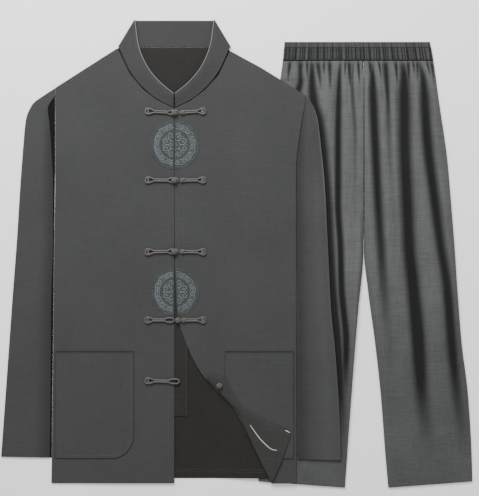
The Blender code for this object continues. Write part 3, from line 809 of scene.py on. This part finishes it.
sleeve_right_under, sleeve_right_upper = add_sleeve("right", RIGHT_SLEEVE)
sleeve_left_under, sleeve_left_upper = add_sleeve("left", LEFT_SLEEVE)


# Collar
# The stand collar, two layers of the jacket's cloth stiffened and stitched along the edge. Laid flat, its
# back stands above the neck with the inside showing, and both ends come round in front to the closing.
COLLAR_RISE = 4.2
COLLAR_FOLD = 2.2
COLLAR_LOW = 5.0
FRONT_BAND = (
    TurnedRow(-1.5, 175, -1.5, 148),
    TurnedRow(-32, 160, -30, 124),
    TurnedRow(-60, 138, -54, 94),
    TurnedRow(-88, 104, -72, 50),
    TurnedRow(-111, 54.5, -79, 1.5),
)


def collar_surface():
    """The collar's outer face: up one front band, round the side, along the back, and mirrored down again."""
    share = steps(52.0, 3.0)
    across, down = between(FRONT_BAND, steps(195.0, 4.0), share)
    index = (steps(195.0, 4.0) * (len(FRONT_BAND) - 1))[:, None]
    rise = COLLAR_RISE * smooth_step((len(FRONT_BAND) - 1 - index) / 2.0)
    bow = 0.7 * np.sin(math.pi * share)[None, :] * smooth_step((len(FRONT_BAND) - 1 - index) / 1.0)
    band = np.stack((across, down, COLLAR_LOW + rise * smooth_step(share)[None, :] + bow), -1)
    last = band[-1]
    turn = []
    for angle in np.radians(np.arange(12, 180, 12)):
        turned = last.copy()
        turned[:, 0] -= COLLAR_FOLD * math.sin(angle)
        upward = 1 + math.cos(angle)
        turned[:, 2] = COLLAR_FOLD * upward + (COLLAR_LOW - 2 * COLLAR_FOLD) * upward / 2
        turn.append(turned)
    back = []
    for part in np.linspace(0.02, 0.98, 30):
        row = last.copy()
        row[:, 0] = last[:, 0] * (1 - 2 * part)
        row[:, 2] = 0.0
        back.append(row)
    turn, back = np.array(turn), np.array(back)
    mirror = np.array([-1.0, 1.0, 1.0])
    return np.concatenate((band, turn, back, turn[::-1] * mirror, band[::-1] * mirror)), len(band)


def to_metres(points):
    return np.stack(
        (JACKET_MIDDLE_X + points[..., 0] * MM, JACKET_TOP_Y - points[..., 1] * MM, points[..., 2] * MM), -1
    )


outer, band_rows = collar_surface()
flat = outer * np.array([1.0, -1.0, 1.0])
inward = np.cross(np.gradient(flat, axis=0), np.gradient(flat, axis=1))
inward /= np.linalg.norm(inward, axis=-1, keepdims=True)
inward *= -np.sign(inward[2, 5, 2])
lip = np.clip(np.minimum(np.arange(outer.shape[1]), np.arange(outer.shape[1])[::-1]) / 3.0, 0.0, 1.0)
half = (WALL / 2 * (0.3 + 0.7 * np.sqrt(1 - (1 - lip) ** 2)))[None, :, None]
middle = flat + inward * WALL / 2
outside, inside = ((middle + sign * inward * half) * np.array([1.0, -1.0, 1.0]) for sign in (-1, 1))
collar_cloth = cloth_material("collar_cloth", (0.0352, 0.036, 0.0358), slub=0.45)
collar = close_shell("collar_cloth_band", to_metres(outside), to_metres(inside), collar_cloth)
place(collar, "collar_cloth", "collar")


def add_tube(name, points, radius, material, sides=10, closed=False, flatten=1.0):
    """A round cord through points in metres, turned so that no side twists. Its ends are closed."""
    points = np.asarray(points, float)
    radius = np.broadcast_to(np.asarray(radius, float), (len(points),))
    if closed:
        tangent = np.roll(points, -1, axis=0) - np.roll(points, 1, axis=0)
    else:
        tangent = np.gradient(points, axis=0)
    tangent /= np.linalg.norm(tangent, axis=1, keepdims=True)
    side = np.cross(tangent, np.array([0.0, 0.0, 1.0]))
    weak = np.linalg.norm(side, axis=1) < 1e-3
    side[weak] = np.array([1.0, 0.0, 0.0])
    side /= np.linalg.norm(side, axis=1, keepdims=True)
    up = np.cross(side, tangent)
    rings = []
    for turn in np.linspace(0, 2 * math.pi, sides, endpoint=False):
        offset = side * math.cos(turn) + up * (math.sin(turn) * flatten)
        rings.append(points + offset * radius[:, None])
    verts = np.stack(rings, 1).reshape(-1, 3)
    faces = []
    count = len(points)
    for k in range(count if closed else count - 1):
        here, there = k * sides, ((k + 1) % count) * sides
        for j in range(sides):
            onward = (j + 1) % sides
            faces.append((here + j, here + onward, there + onward, there + j))
    if not closed:
        faces.append(tuple(range(sides))[::-1])
        faces.append(tuple(range((count - 1) * sides, count * sides)))
    return verts, faces


def add_mesh(name, parts, material):
    """One object from several (vertices, faces) parts, with its normals facing out."""
    verts, faces, start = [], [], 0
    for part_verts, part_faces in parts:
        verts.append(np.asarray(part_verts))
        faces += [tuple(start + k for k in face) for face in part_faces]
        start += len(part_verts)
    mesh = bpy.data.meshes.new(name)
    mesh.from_pydata(np.concatenate(verts).tolist(), [], faces)
    shape = bmesh.new()
    shape.from_mesh(mesh)
    bmesh.ops.recalc_face_normals(shape, faces=shape.faces)
    shape.to_mesh(mesh)
    shape.free()
    mesh.materials.append(material)
    mesh.shade_smooth()
    obj = bpy.data.objects.new(name, mesh)
    bpy.context.scene.collection.objects.link(obj)
    return obj


collar_edge_thread = cloth_material("collar_edge_thread", (0.15, 0.147, 0.142), slub=0.4)
edge_line = outer[: band_rows + 6, -1]
piping = []
for mirror in (1.0, -1.0):
    line = to_metres(edge_line * np.array([mirror, 1.0, 1.0]) + np.array([0.0, 0.0, -0.2]))
    piping.append(add_tube("piping", line, 0.0009, collar_edge_thread, sides=8))
collar_piping = add_mesh("collar_piping", piping, collar_edge_thread)
place(collar_piping, "collar_cloth")


# Frog buttons
# Five fastenings of rolled cloth cord with a soft sheen: a doubled loop on the right front, a doubled tail on
# the left front, each ending in two flat coils, and a ball knot that the loop goes round, all sewn down.
FROG_DOWNS = (186.0, 321.0, 463.0, 600.0, 722.0)
LOOP_ENDS = (8.0, 8.0, 8.0, -1.0, 10.0)
LOOP_START = -58.0
TAIL_END = 62.0
TAIL_STARTS = (12.0, 12.0, 12.0, 15.0)
KNOT_REACHES = (12.0, 12.0, 12.0, 7.8)
KNOT_SEATS = (2.7, 2.7, 2.7, 0.0)
TURNED_KNOT = (90.0, 730.0)
CORD = 3.4
KNOT_RADIUS = 5.5
KNOT_HEIGHT = 6.8
LOOP_SHAPE = (
    (0.0, 3.0), (0.03, 5.2), (0.09, 5.8), (0.17, 4.4), (0.29, 1.75), (0.66, 1.75), (0.8, 4.4), (0.93, 4.4),
    (1.0, 1.2),
)
TAIL_SHAPE = (
    (0.0, 1.6), (0.08, 3.2), (0.24, 1.75), (0.66, 1.75), (0.8, 4.4), (0.9, 5.8), (0.97, 5.2), (1.0, 3.0),
)
LEANS = (3.2, 0.6, -0.8, 0.4, 1.2)


def cord_material(name, colour):
    """Rolled bias cloth: fine slanting threads and a soft sheen."""
    material = bpy.data.materials.new(name)
    material.use_nodes = True
    tree = material.node_tree
    shader = tree.nodes["Principled BSDF"]
    shader.inputs["Base Color"].default_value = (*colour, 1.0)
    shader.inputs["Roughness"].default_value = 0.46
    shader.inputs["Specular IOR Level"].default_value = 0.4
    shader.inputs["Sheen Weight"].default_value = 0.25
    place_of = tree.nodes.new("ShaderNodeTexCoord")
    threads = tree.nodes.new("ShaderNodeTexNoise")
    threads.inputs["Scale"].default_value = 1400.0
    tree.links.new(place_of.outputs["Object"], threads.inputs["Vector"])
    bump = tree.nodes.new("ShaderNodeBump")
    bump.inputs["Strength"].default_value = 0.4
    bump.inputs["Distance"].default_value = 0.0003
    tree.links.new(threads.outputs["Fac"], bump.inputs["Height"])
    tree.links.new(bump.outputs["Normal"], shader.inputs["Normal"])
    return material


def frog_point(across, down, number):
    """A cord's middle where it lies on the front. The outer end of each half leans up or down a little."""
    lean = LEANS[number - 1] * smooth_step(np.abs(across) / 62.0)
    base = front_top(across, down - lean) + 2 * GAP
    return np.stack((across, down - lean, base + CORD / 2), -1)


def doubled_cord(start, end, shape, down, number):
    share = np.linspace(0, 1, 60)
    half = smooth(shape)(share)
    along = start + share * (end - start)
    across = np.concatenate((along, along[::-1][1:-1]))
    downs = down + np.concatenate((half, -half[::-1][1:-1]))
    return to_metres(frog_point(across, downs, number))


def coil(across, down, turn, number):
    """A flat coil of the cord's end, seen from above as a small disc."""
    angle = np.linspace(0, 2 * math.pi * 1.6, 34)
    radius = 3.0 - 2.1 * angle / angle[-1]
    spot = frog_point(across + radius * np.cos(angle), down + turn * radius * np.sin(angle), number)
    spot[:, 2] += 0.5 - 0.25 * radius / 3.0
    return add_tube("coil", to_metres(spot), 0.00125, None, sides=8)


def knot(across, down, base, tilt):
    """A ball knot: one cord wound over and under itself round a small core."""
    turn = np.linspace(0, 2 * math.pi, 150, endpoint=False)
    around = 3 * turn + tilt
    rise = 1.02 * np.sin(4 * turn)
    bulge = 1.0 + 0.12 * np.cos(8 * turn + 0.6)
    spot = np.stack(
        (
            across + (KNOT_RADIUS - 1.4) * bulge * np.cos(rise) * np.cos(around),
            down + (KNOT_RADIUS - 1.4) * bulge * np.cos(rise) * np.sin(around),
            base + KNOT_HEIGHT / 2 + (KNOT_HEIGHT / 2 - 1.2) * bulge * np.sin(rise),
        ),
        -1,
    )
    core_height = base + KNOT_HEIGHT * np.linspace(0.16, 0.84, 9)
    core = np.stack((np.full(9, across), np.full(9, down), core_height), -1)
    core_radius = 0.0039 * np.sqrt(np.clip(1 - np.linspace(-0.96, 0.96, 9) ** 2, 0.02, 1))
    return [
        add_tube("knot", to_metres(spot), 0.0015, None, sides=8, closed=True),
        add_tube("core", to_metres(core), core_radius, None, sides=12),
    ]


def wrap(across, down, number):
    """Three turns of cord that bind the doubled strands beside the knot."""
    parts = []
    for k in range(3):
        turn = np.linspace(0, 2 * math.pi, 20, endpoint=False)
        middle = frog_point(np.full(20, across + 2.3 * k), np.full(20, down), number)
        middle[:, 1] += 3.7 * np.cos(turn)
        middle[:, 2] += 0.3 + 1.75 * np.sin(turn)
        middle[:, 0] += 0.7 * np.sin(turn)
        parts.append(add_tube("wrap", to_metres(middle), 0.0011, None, sides=8, closed=True))
    return parts


frog_cord = cord_material("frog_cord", (0.058, 0.052, 0.049))
for number, down in enumerate(FROG_DOWNS, start=1):
    path = doubled_cord(LOOP_START, LOOP_ENDS[number - 1], LOOP_SHAPE, down, number)
    parts = [add_tube("loop", path, CORD / 2 * MM * 0.97, None, closed=True)]
    for turn in (-1, 1):
        parts.append(coil(LOOP_START + 6.0, down + 3.3 * turn, turn, number))
    place(add_mesh(f"frog_loop_{number}_cord", parts, frog_cord), "frog_cord", f"frog_loop_{number}")
for number, (down, start) in enumerate(zip(FROG_DOWNS, TAIL_STARTS), start=1):
    path = doubled_cord(start, TAIL_END, TAIL_SHAPE, down, number)
    parts = [add_tube("tail", path, CORD / 2 * MM * 0.97, None, closed=True)]
    for turn in (-1, 1):
        parts.append(coil(TAIL_END - 6.0, down + 3.3 * turn, -turn, number))
    parts += wrap(start + 1.5, down, number)
    place(add_mesh(f"frog_tail_{number}_cord", parts, frog_cord), "frog_cord", f"frog_tail_{number}")
    seat = start - KNOT_REACHES[number - 1]
    base = float(front_top(np.array(seat), np.array(down))) + 2 * GAP + KNOT_SEATS[number - 1]
    ball = add_mesh(f"frog_knot_{number}_cord", knot(seat, down, base, 0.4 * number), frog_cord)
    place(ball, "frog_cord", f"frog_knot_{number}")
across, down = TURNED_KNOT
base = float(corner_height(np.array(across), np.array(down))) + WALL + TURNED_CROWN
ball = add_mesh("frog_knot_5_cord", knot(across, down, base, 1.3), frog_cord)
place(ball, "frog_cord", "frog_knot_5")


# Medallions
# Two round embroidered medallions in raised blue-grey satin stitch, each split by the closing into a half on
# either front. The design is a generic one: cloud scrolls in a ring round a rosette of petals and dots.
Medallion = namedtuple("Medallion", "across down radius")
MEDALLIONS = (Medallion(1.0, 250.0, 50.0), Medallion(1.5, 544.0, 49.0))
THREAD_WIDTH = 1.5
THREAD_HEIGHT = 0.75
GROUND = 0.35


def arc(radius, start, end, centre=(0.0, 0.0)):
    angle = np.linspace(start, end, max(6, int(abs(end - start) * radius / 1.6)))
    return np.stack((centre[0] + radius * np.cos(angle), centre[1] + radius * np.sin(angle)), -1)


def scroll(centre, size, start, turns, hand):
    angle = np.linspace(0, turns * 2 * math.pi, 34)
    radius = size * (1 - 0.8 * angle / angle[-1])
    turned = start + hand * angle
    return np.stack((centre[0] + radius * np.cos(turned), centre[1] + radius * np.sin(turned)), -1)


def medallion_strokes():
    """The design in a circle of radius 1: each stroke with its width as a share of the thread's."""
    full = 2 * math.pi
    strokes = [(arc(1.0, 0, full) * radius, width) for radius, width in ((0.97, 1.0), (0.89, 0.6), (0.56, 0.8))]
    for k in range(14):
        angle = full * (k + 0.25) / 14
        spot = 0.735 * np.array([math.cos(angle), math.sin(angle)])
        hand = 1 if k % 2 else -1
        strokes.append((scroll(spot, 0.125, angle + 0.6 * hand, 1.7, hand), 1.0))
        nearby = angle + full / 28
        strokes.append((arc(0.83, nearby - 0.12, nearby + 0.12), 0.9))
        strokes.append((arc(0.64, nearby - 0.1, nearby + 0.1), 0.9))
        strokes.append((arc(0.735, nearby - 0.035, nearby + 0.035), 1.2))
    for k in range(8):
        angle = full * (k + 0.5) / 8
        out = np.array([math.cos(angle), math.sin(angle)])
        aside = np.array([-out[1], out[0]])
        share = np.linspace(0, 1, 14)[:, None]
        for hand in (-1, 1):
            bow = 0.125 * hand * np.sin(math.pi * share**0.8)
            strokes.append((out * (0.17 + 0.35 * share) + aside * bow, 1.0))
        strokes.append((scroll(out * 0.35, 0.062, angle, 1.2, 1), 0.8))
        between_petals = angle + full / 16
        strokes.append((arc(0.47, between_petals - 0.1, between_petals + 0.1), 0.9))
    strokes.append((arc(1.0, 0, full) * 0.15, 0.8))
    for k in range(6):
        angle = full * k / 6
        strokes.append((arc(0.028, 0, full, (0.08 * math.cos(angle), 0.08 * math.sin(angle))), 0.6))
    return strokes


def raised_stitch(path, width, height_at):
    """A band of satin stitch along a path of (across, down), rounded on top."""
    along = np.gradient(path, axis=0)
    along /= np.linalg.norm(along, axis=1, keepdims=True) + 1e-9
    side = np.stack((-along[:, 1], along[:, 0]), -1)
    taper = np.clip(np.minimum(np.arange(len(path)), np.arange(len(path))[::-1]) / 2.0 + 0.35, 0, 1)
    rings = []
    for offset, rise in ((-0.5, 0.0), (-0.36, 0.7), (0.0, 1.0), (0.36, 0.7), (0.5, 0.0)):
        spot = path + side * (offset * width * taper)[:, None]
        height = height_at(spot[:, 0], spot[:, 1]) + THREAD_HEIGHT * rise * taper
        rings.append(np.stack((spot[:, 0], spot[:, 1], height), -1))
    verts = to_metres(np.stack(rings, 1)).reshape(-1, 3)
    faces = []
    for k in range(len(path) - 1):
        for j in range(4):
            faces.append((5 * k + j, 5 * k + j + 1, 5 * k + j + 6, 5 * k + j + 5))
        faces.append((5 * k, 5 * k + 5, 5 * k + 9, 5 * k + 4))
    faces.append((4, 3, 2, 1, 0))
    last = 5 * (len(path) - 1)
    faces.append((last, last + 1, last + 2, last + 3, last + 4))
    return verts, faces


def half_runs(path, keep):
    """The parts of a path that lie on one front."""
    runs, run = [], []
    for point, inside in zip(path, keep):
        if inside:
            run.append(point)
        elif run:
            runs.append(run)
            run = []
    if run:
        runs.append(run)
    return [np.array(run) for run in runs if len(run) > 3]


def add_medallion(number, medallion):
    for side, sign, edge in (
        ("right", -1.0, lambda down: -SEAM - 1.0 + 0 * down),
        ("left", 1.0, lambda down: peeled_edge(down) + 1.2),
    ):
        reach = medallion.radius * 0.995
        rows = np.linspace(-0.985, 0.985, 60)[:, None] * reach
        outer = medallion.across + sign * np.sqrt(reach**2 - rows**2)
        start = edge(medallion.down + rows)
        share = np.linspace(0, 1, 30)[None, :]
        across = start + share * (outer - start)
        down = medallion.down + rows + 0 * across
        if sign < 0:
            across = across[:, ::-1]
        ground = add_shell(
            f"medallion_{number}_{side}_ground", across, down, front_top(across, down) + SETTLED, GROUND,
            embroidery_ground, JACKET_MIDDLE_X, JACKET_TOP_Y,
        )
        parts = []
        for shape, share_of_width in medallion_strokes():
            path = shape * medallion.radius + np.array([medallion.across, medallion.down])
            fine = np.linspace(0, len(path) - 1, len(path) * 2)
            path = np.stack([np.interp(fine, np.arange(len(path)), path[:, k]) for k in (0, 1)], -1)
            keep = sign * (path[:, 0] - edge(path[:, 1])) > 0.6
            for run in half_runs(path, keep):
                width = THREAD_WIDTH * share_of_width
                parts.append(
                    raised_stitch(run, width, lambda a, d: front_top(a, d) + SETTLED + GROUND * 0.8)
                )
        threads = add_mesh(f"medallion_{number}_{side}_threads", parts, embroidery_thread)
        for obj in (ground, threads):
            place(obj, "frog_cord")


embroidery_ground = cloth_material("embroidery_ground", (0.04, 0.045, 0.047), slub=1.4)
embroidery_thread = cord_material("embroidery_thread", (0.098, 0.111, 0.116))
for number, medallion in enumerate(MEDALLIONS, start=1):
    add_medallion(number, medallion)


# Facing's edge and the corner's painted highlight
# A bright bound edge of the left front's facing, which shows as a thin curved line inside the turned corner,
# made as narrow tape sewn on along the edge; and a painted highlight on the tip of the corner, a short bright
# tube of the same material.
FACING_EDGE = ((151, 808), (162, 824), (172, 837), (183, 848), (193, 856), (199, 858), (205, 858.6))
# The corner tip's painted highlight, a short bright tube.
CORNER_TIP_HIGHLIGHT = ((221, 819), (226, 821.5), (231, 824), (233, 825))


def dropped(points, targets, clearance):
    """Points (x, y) in metres laid on the highest of these objects under them."""
    trees = [BVHTree.FromObject(obj, bpy.context.evaluated_depsgraph_get()) for obj in targets]
    laid = []
    for x, y in points:
        heights = [tree.ray_cast(Vector((x, y, 0.1)), Vector((0, 0, -1)))[0] for tree in trees]
        heights = [hit.z for hit in heights if hit is not None]
        if heights:
            laid.append((x, y, max(heights) + clearance))
    return np.array(laid)


def fine_line(corners, pitch):
    """A line through corners in millimetres, with points at even pitch and its turns rounded."""
    corners = np.array(corners, float)
    length = np.concatenate(([0.0], np.cumsum(np.hypot(*np.diff(corners, axis=0).T))))
    keyed = [(start, *corner) for start, corner in zip(length, corners)]
    at = np.linspace(0, length[-1], max(3, int(length[-1] / pitch)))
    return np.stack((smooth(keyed, 1)(at), smooth(keyed, 2)(at)), -1)


def jacket_xy(line):
    return np.stack((JACKET_MIDDLE_X + line[:, 0] * MM, JACKET_TOP_Y - line[:, 1] * MM), -1)


tape_and_tip_highlight = []
for line, width in ((FACING_EDGE, 0.0009), (CORNER_TIP_HIGHLIGHT, 0.001)):
    laid = dropped(jacket_xy(fine_line(line, 2.0)), [turned_corner], 0.0004)
    taper = np.sin(np.pi * np.clip(np.linspace(0.04, 0.96, len(laid)), 0, 1)) ** 0.5
    tape_and_tip_highlight.append(add_tube("tape_and_tip_highlight", laid, width * (0.35 + 0.65 * taper), None, sides=8))
# One bright material for the facing's tape and the corner tip's painted highlight.
facing_tape = cord_material("facing_tape", (0.52, 0.5, 0.47))
place(add_mesh("facing_edge_tape", tape_and_tip_highlight, facing_tape), "jacket_inside")


# Stitching
# Lines of lockstitch in the cloth's colour: along the shoulders, the neck, the collar, the pockets, the
# closing, the back's hem, the turned corner, the placket, the right armhole and across the waistband.
STITCH_SPACING = 3.4
STITCH_CLEARANCE = 0.00005
STITCH_SIZE = (2.3, 0.62, 0.34)
StitchLine = namedtuple("StitchLine", "name targets corners")


def pocket_line(outer, inner, inset):
    """A line inside a pocket's edge: down the inner side, round the corner and along the bottom."""
    side = 1.0 if inner > outer else -1.0
    radius = POCKET_CORNER - inset
    centre = (inner - side * POCKET_CORNER, POCKET_BOTTOM_DOWN - POCKET_CORNER)
    line = [(inner - side * inset, POCKET_TOP_DOWN + 2.0), (inner - side * inset, centre[1] - 40.0)]
    for turn in np.radians(np.arange(0, 91, 15)):
        line.append((centre[0] + side * radius * math.cos(turn), centre[1] + radius * math.sin(turn)))
    line.append((outer + side * 2.0, POCKET_BOTTOM_DOWN - inset))
    return tuple(line)


JACKET_STITCHES = (
    StitchLine("pocket_right", [pocket_right], pocket_line(-238.0, -81.0, 1.6)),
    StitchLine("pocket_right", [pocket_right], pocket_line(-238.0, -81.0, 6.0)),
    StitchLine("pocket_left", [pocket_left], ((236, 674), (104, 674))),
    StitchLine("pocket_left", [pocket_left], ((236, 694), (104, 694))),
    StitchLine("pocket_left", [pocket_left], ((103, 664), (103, 760))),
    StitchLine("front_right", [jacket_front_right], ((-117, 66), (-185, 109), (-238, 143))),
    StitchLine("front_right", [jacket_front_right], ((-92, 120), (-66, 150), (-36, 172), (-14, 179))),
    StitchLine("front_right", [jacket_front_right], ((-94, 125), (-68, 155), (-38, 177), (-14, 184))),
    StitchLine("front_right", [jacket_front_right], ((-11, 196), (-11, 924))),
    StitchLine("front_left", [jacket_front_left], ((114, 71), (171, 103), (213, 129), (252, 153))),
    StitchLine("front_left", [jacket_front_left], ((92, 120), (66, 150), (36, 172), (16, 179))),
    StitchLine("front_left", [jacket_front_left], ((94, 125), (68, 155), (38, 177), (16, 184))),
    StitchLine("front_left", [jacket_front_left], ((19, 196), (19, 450), (21, 540), (26, 600))),
    StitchLine("back", [jacket_back], ((3, 898.5), (190, 898.5))),
    StitchLine("back", [jacket_back], ((3, 903.5), (192, 903.5))),
    StitchLine("corner", [turned_corner], ((140, 779), (176, 800), (225, 826))),
    StitchLine("corner", [turned_corner], ((224, 833), (216, 862), (206, 888), (197, 912))),
    StitchLine("sleeve_right", [sleeve_right_upper], ((-284, 172), (-270, 166), (-256, 176))),
    StitchLine("placket", [under_placket], ((24, 480), (24, 788))),
)
COLLAR_STITCHES = ((-8, 149), (-32, 130), (-57, 97), (-75, 54), (-83, 8))
TROUSER_STITCHES = (
    StitchLine("band_front", [waistband_front], ((-160, 14), (139, 14))),
    StitchLine("band_front", [waistband_front], ((-160, 24.5), (139, 24.5))),
    StitchLine("band_front", [waistband_front], ((-161, 35), (139, 35))),
    StitchLine("band_back", [waistband_back], ((-157, 4), (132, 4))),
)


def stitching_tree():
    """Stitches set along lines at an even spacing, each turned to its line."""
    tree = bpy.data.node_groups.new("stitching", "GeometryNodeTree")
    names = {}
    for name, kind in (
        ("Line", "Geometry"), ("Spacing", "Float"), ("Stitch", "Object"), ("Thread", "Material"),
    ):
        socket = tree.interface.new_socket(name, in_out="INPUT", socket_type=f"NodeSocket{kind}")
        names[name] = socket.identifier
    tree.interface.new_socket("Stitches", in_out="OUTPUT", socket_type="NodeSocketGeometry")
    made = {}
    for key, kind in (
        ("in", "NodeGroupInput"), ("curve", "GeometryNodeMeshToCurve"), ("even", "GeometryNodeResampleCurve"),
        ("tangent", "GeometryNodeInputTangent"), ("turn", "FunctionNodeAlignRotationToVector"),
        ("object", "GeometryNodeObjectInfo"), ("set", "GeometryNodeInstanceOnPoints"),
        ("real", "GeometryNodeRealizeInstances"), ("paint", "GeometryNodeSetMaterial"),
        ("out", "NodeGroupOutput"),
    ):
        made[key] = tree.nodes.new(kind)
    made["even"].mode = "LENGTH"
    made["turn"].axis = "X"
    made["turn"].pivot_axis = "AUTO"
    for source, output, target, socket in (
        ("in", "Line", "curve", "Mesh"), ("curve", "Curve", "even", "Curve"),
        ("in", "Spacing", "even", "Length"),
        ("even", "Curve", "set", "Points"), ("tangent", "Tangent", "turn", "Vector"),
        ("turn", "Rotation", "set", "Rotation"), ("in", "Stitch", "object", "Object"),
        ("object", "Geometry", "set", "Instance"), ("set", "Instances", "real", "Geometry"),
        ("real", "Geometry", "paint", "Geometry"), ("in", "Thread", "paint", "Material"),
        ("paint", "Geometry", "out", "Stitches"),
    ):
        tree.links.new(made[source].outputs[output], made[target].inputs[socket])
    return tree, names


def add_stitch_lines(name, lines, tree, names, stitch, slot):
    """One object of stitches along several lines, given as points in metres."""
    verts, edges = [], []
    for line in lines:
        edges += [(len(verts) + k, len(verts) + k + 1) for k in range(len(line) - 1)]
        verts += [tuple(point) for point in line]
    mesh = bpy.data.meshes.new(f"{name}_lines")
    mesh.from_pydata(verts, edges, [])
    source = bpy.data.objects.new(f"{name}_lines", mesh)
    bpy.context.scene.collection.objects.link(source)
    nodes = source.modifiers.new("Stitches", "NODES")
    nodes.node_group = tree
    nodes[names["Spacing"]] = STITCH_SPACING * MM
    nodes[names["Stitch"]] = stitch
    nodes[names["Thread"]] = stitch_thread
    bpy.context.view_layer.update()
    sewn = bpy.data.meshes.new_from_object(source.evaluated_get(bpy.context.evaluated_depsgraph_get()))
    bpy.data.objects.remove(source)
    sewn.shade_smooth()
    obj = bpy.data.objects.new(name, sewn)
    bpy.context.scene.collection.objects.link(obj)
    return place(obj, slot)


stitch_thread = cord_material("stitch_thread", (0.056, 0.057, 0.057))
shape = bmesh.new()
bmesh.ops.create_icosphere(shape, subdivisions=1, radius=0.5)
bmesh.ops.scale(shape, verts=shape.verts, vec=[size * MM for size in STITCH_SIZE])
stitch_mesh = bpy.data.meshes.new("stitch")
shape.to_mesh(stitch_mesh)
shape.free()
stitch_shape = bpy.data.objects.new("stitch_shape", stitch_mesh)
bpy.context.scene.collection.objects.link(stitch_shape)
stitch_tree, stitch_names = stitching_tree()
sewn_lines = {}
for row in JACKET_STITCHES:
    laid = dropped(jacket_xy(fine_line(row.corners, 3.0)), row.targets, STITCH_CLEARANCE)
    sewn_lines.setdefault(row.name, []).append(laid)
for mirror in (1.0, -1.0):
    corners = [(mirror * spot_across, spot_down) for spot_across, spot_down in COLLAR_STITCHES]
    laid = dropped(jacket_xy(fine_line(corners, 3.0)), [collar], STITCH_CLEARANCE)
    sewn_lines.setdefault("collar", []).append(laid)
for row in TROUSER_STITCHES:
    line = fine_line(row.corners, 1.4)
    spots = np.stack((TROUSERS_MIDDLE_X + line[:, 0] * MM, TROUSERS_TOP_Y - line[:, 1] * MM), -1)
    sewn_lines.setdefault(row.name, []).append(dropped(spots, row.targets, STITCH_CLEARANCE))
STITCH_SLOTS = {"band_front": "trouser_cloth", "band_back": "trouser_cloth", "collar": "collar_cloth"}
for name, lines in sewn_lines.items():
    slot_name = STITCH_SLOTS.get(name, "jacket_cloth")
    add_stitch_lines(f"stitches_{name}", lines, stitch_tree, stitch_names, stitch_shape, slot_name)
bpy.data.objects.remove(stitch_shape)


# Floor, light and camera
# A pale floor, a large soft light from the upper left as in the photo, and the photo's straight-down view.
CAMERA_DISTANCE = 2.5
PICTURE_HEIGHT = 0.992
SENSOR = 36.0

world = bpy.data.worlds.new("studio")
bpy.context.scene.world = world
world.use_nodes = True
world.node_tree.nodes["Background"].inputs["Color"].default_value = (1.0, 1.0, 1.0, 1.0)
world.node_tree.nodes["Background"].inputs["Strength"].default_value = 0.72

bpy.ops.mesh.primitive_plane_add(size=8.0, location=(0, 0, -0.0004))
floor = bpy.context.object
floor.name = "floor"
floor_paint = bpy.data.materials.new("floor_paint")
floor_paint.use_nodes = True
floor_paint.node_tree.nodes["Principled BSDF"].inputs["Base Color"].default_value = (0.97, 0.97, 0.97, 1.0)
floor_paint.node_tree.nodes["Principled BSDF"].inputs["Roughness"].default_value = 0.9
floor.data.materials.append(floor_paint)


def add_light(name, energy, size, place_at, aim):
    light = bpy.data.lights.new(name, "AREA")
    light.energy = energy
    light.size = size
    obj = bpy.data.objects.new(name, light)
    obj.location = place_at
    direction = [a - b for a, b in zip(aim, place_at)]
    obj.rotation_euler = Vector(direction).to_track_quat("-Z", "Y").to_euler()
    bpy.context.scene.collection.objects.link(obj)


add_light("key", 92.0, 1.2, (-0.5, 1.75, 1.5), (0.0, 0.15, 0.0))
add_light("fill", 8.0, 2.0, (1.8, -1.2, 2.2), (0.0, 0.0, 0.0))

camera_data = bpy.data.cameras.new("camera")
camera_data.sensor_fit = "VERTICAL"
camera_data.sensor_height = SENSOR
camera_data.lens = SENSOR * CAMERA_DISTANCE / PICTURE_HEIGHT
camera = bpy.data.objects.new("camera", camera_data)
camera.location = (0.0055, 0.0122, CAMERA_DISTANCE)
bpy.context.scene.collection.objects.link(camera)
bpy.context.scene.camera = camera
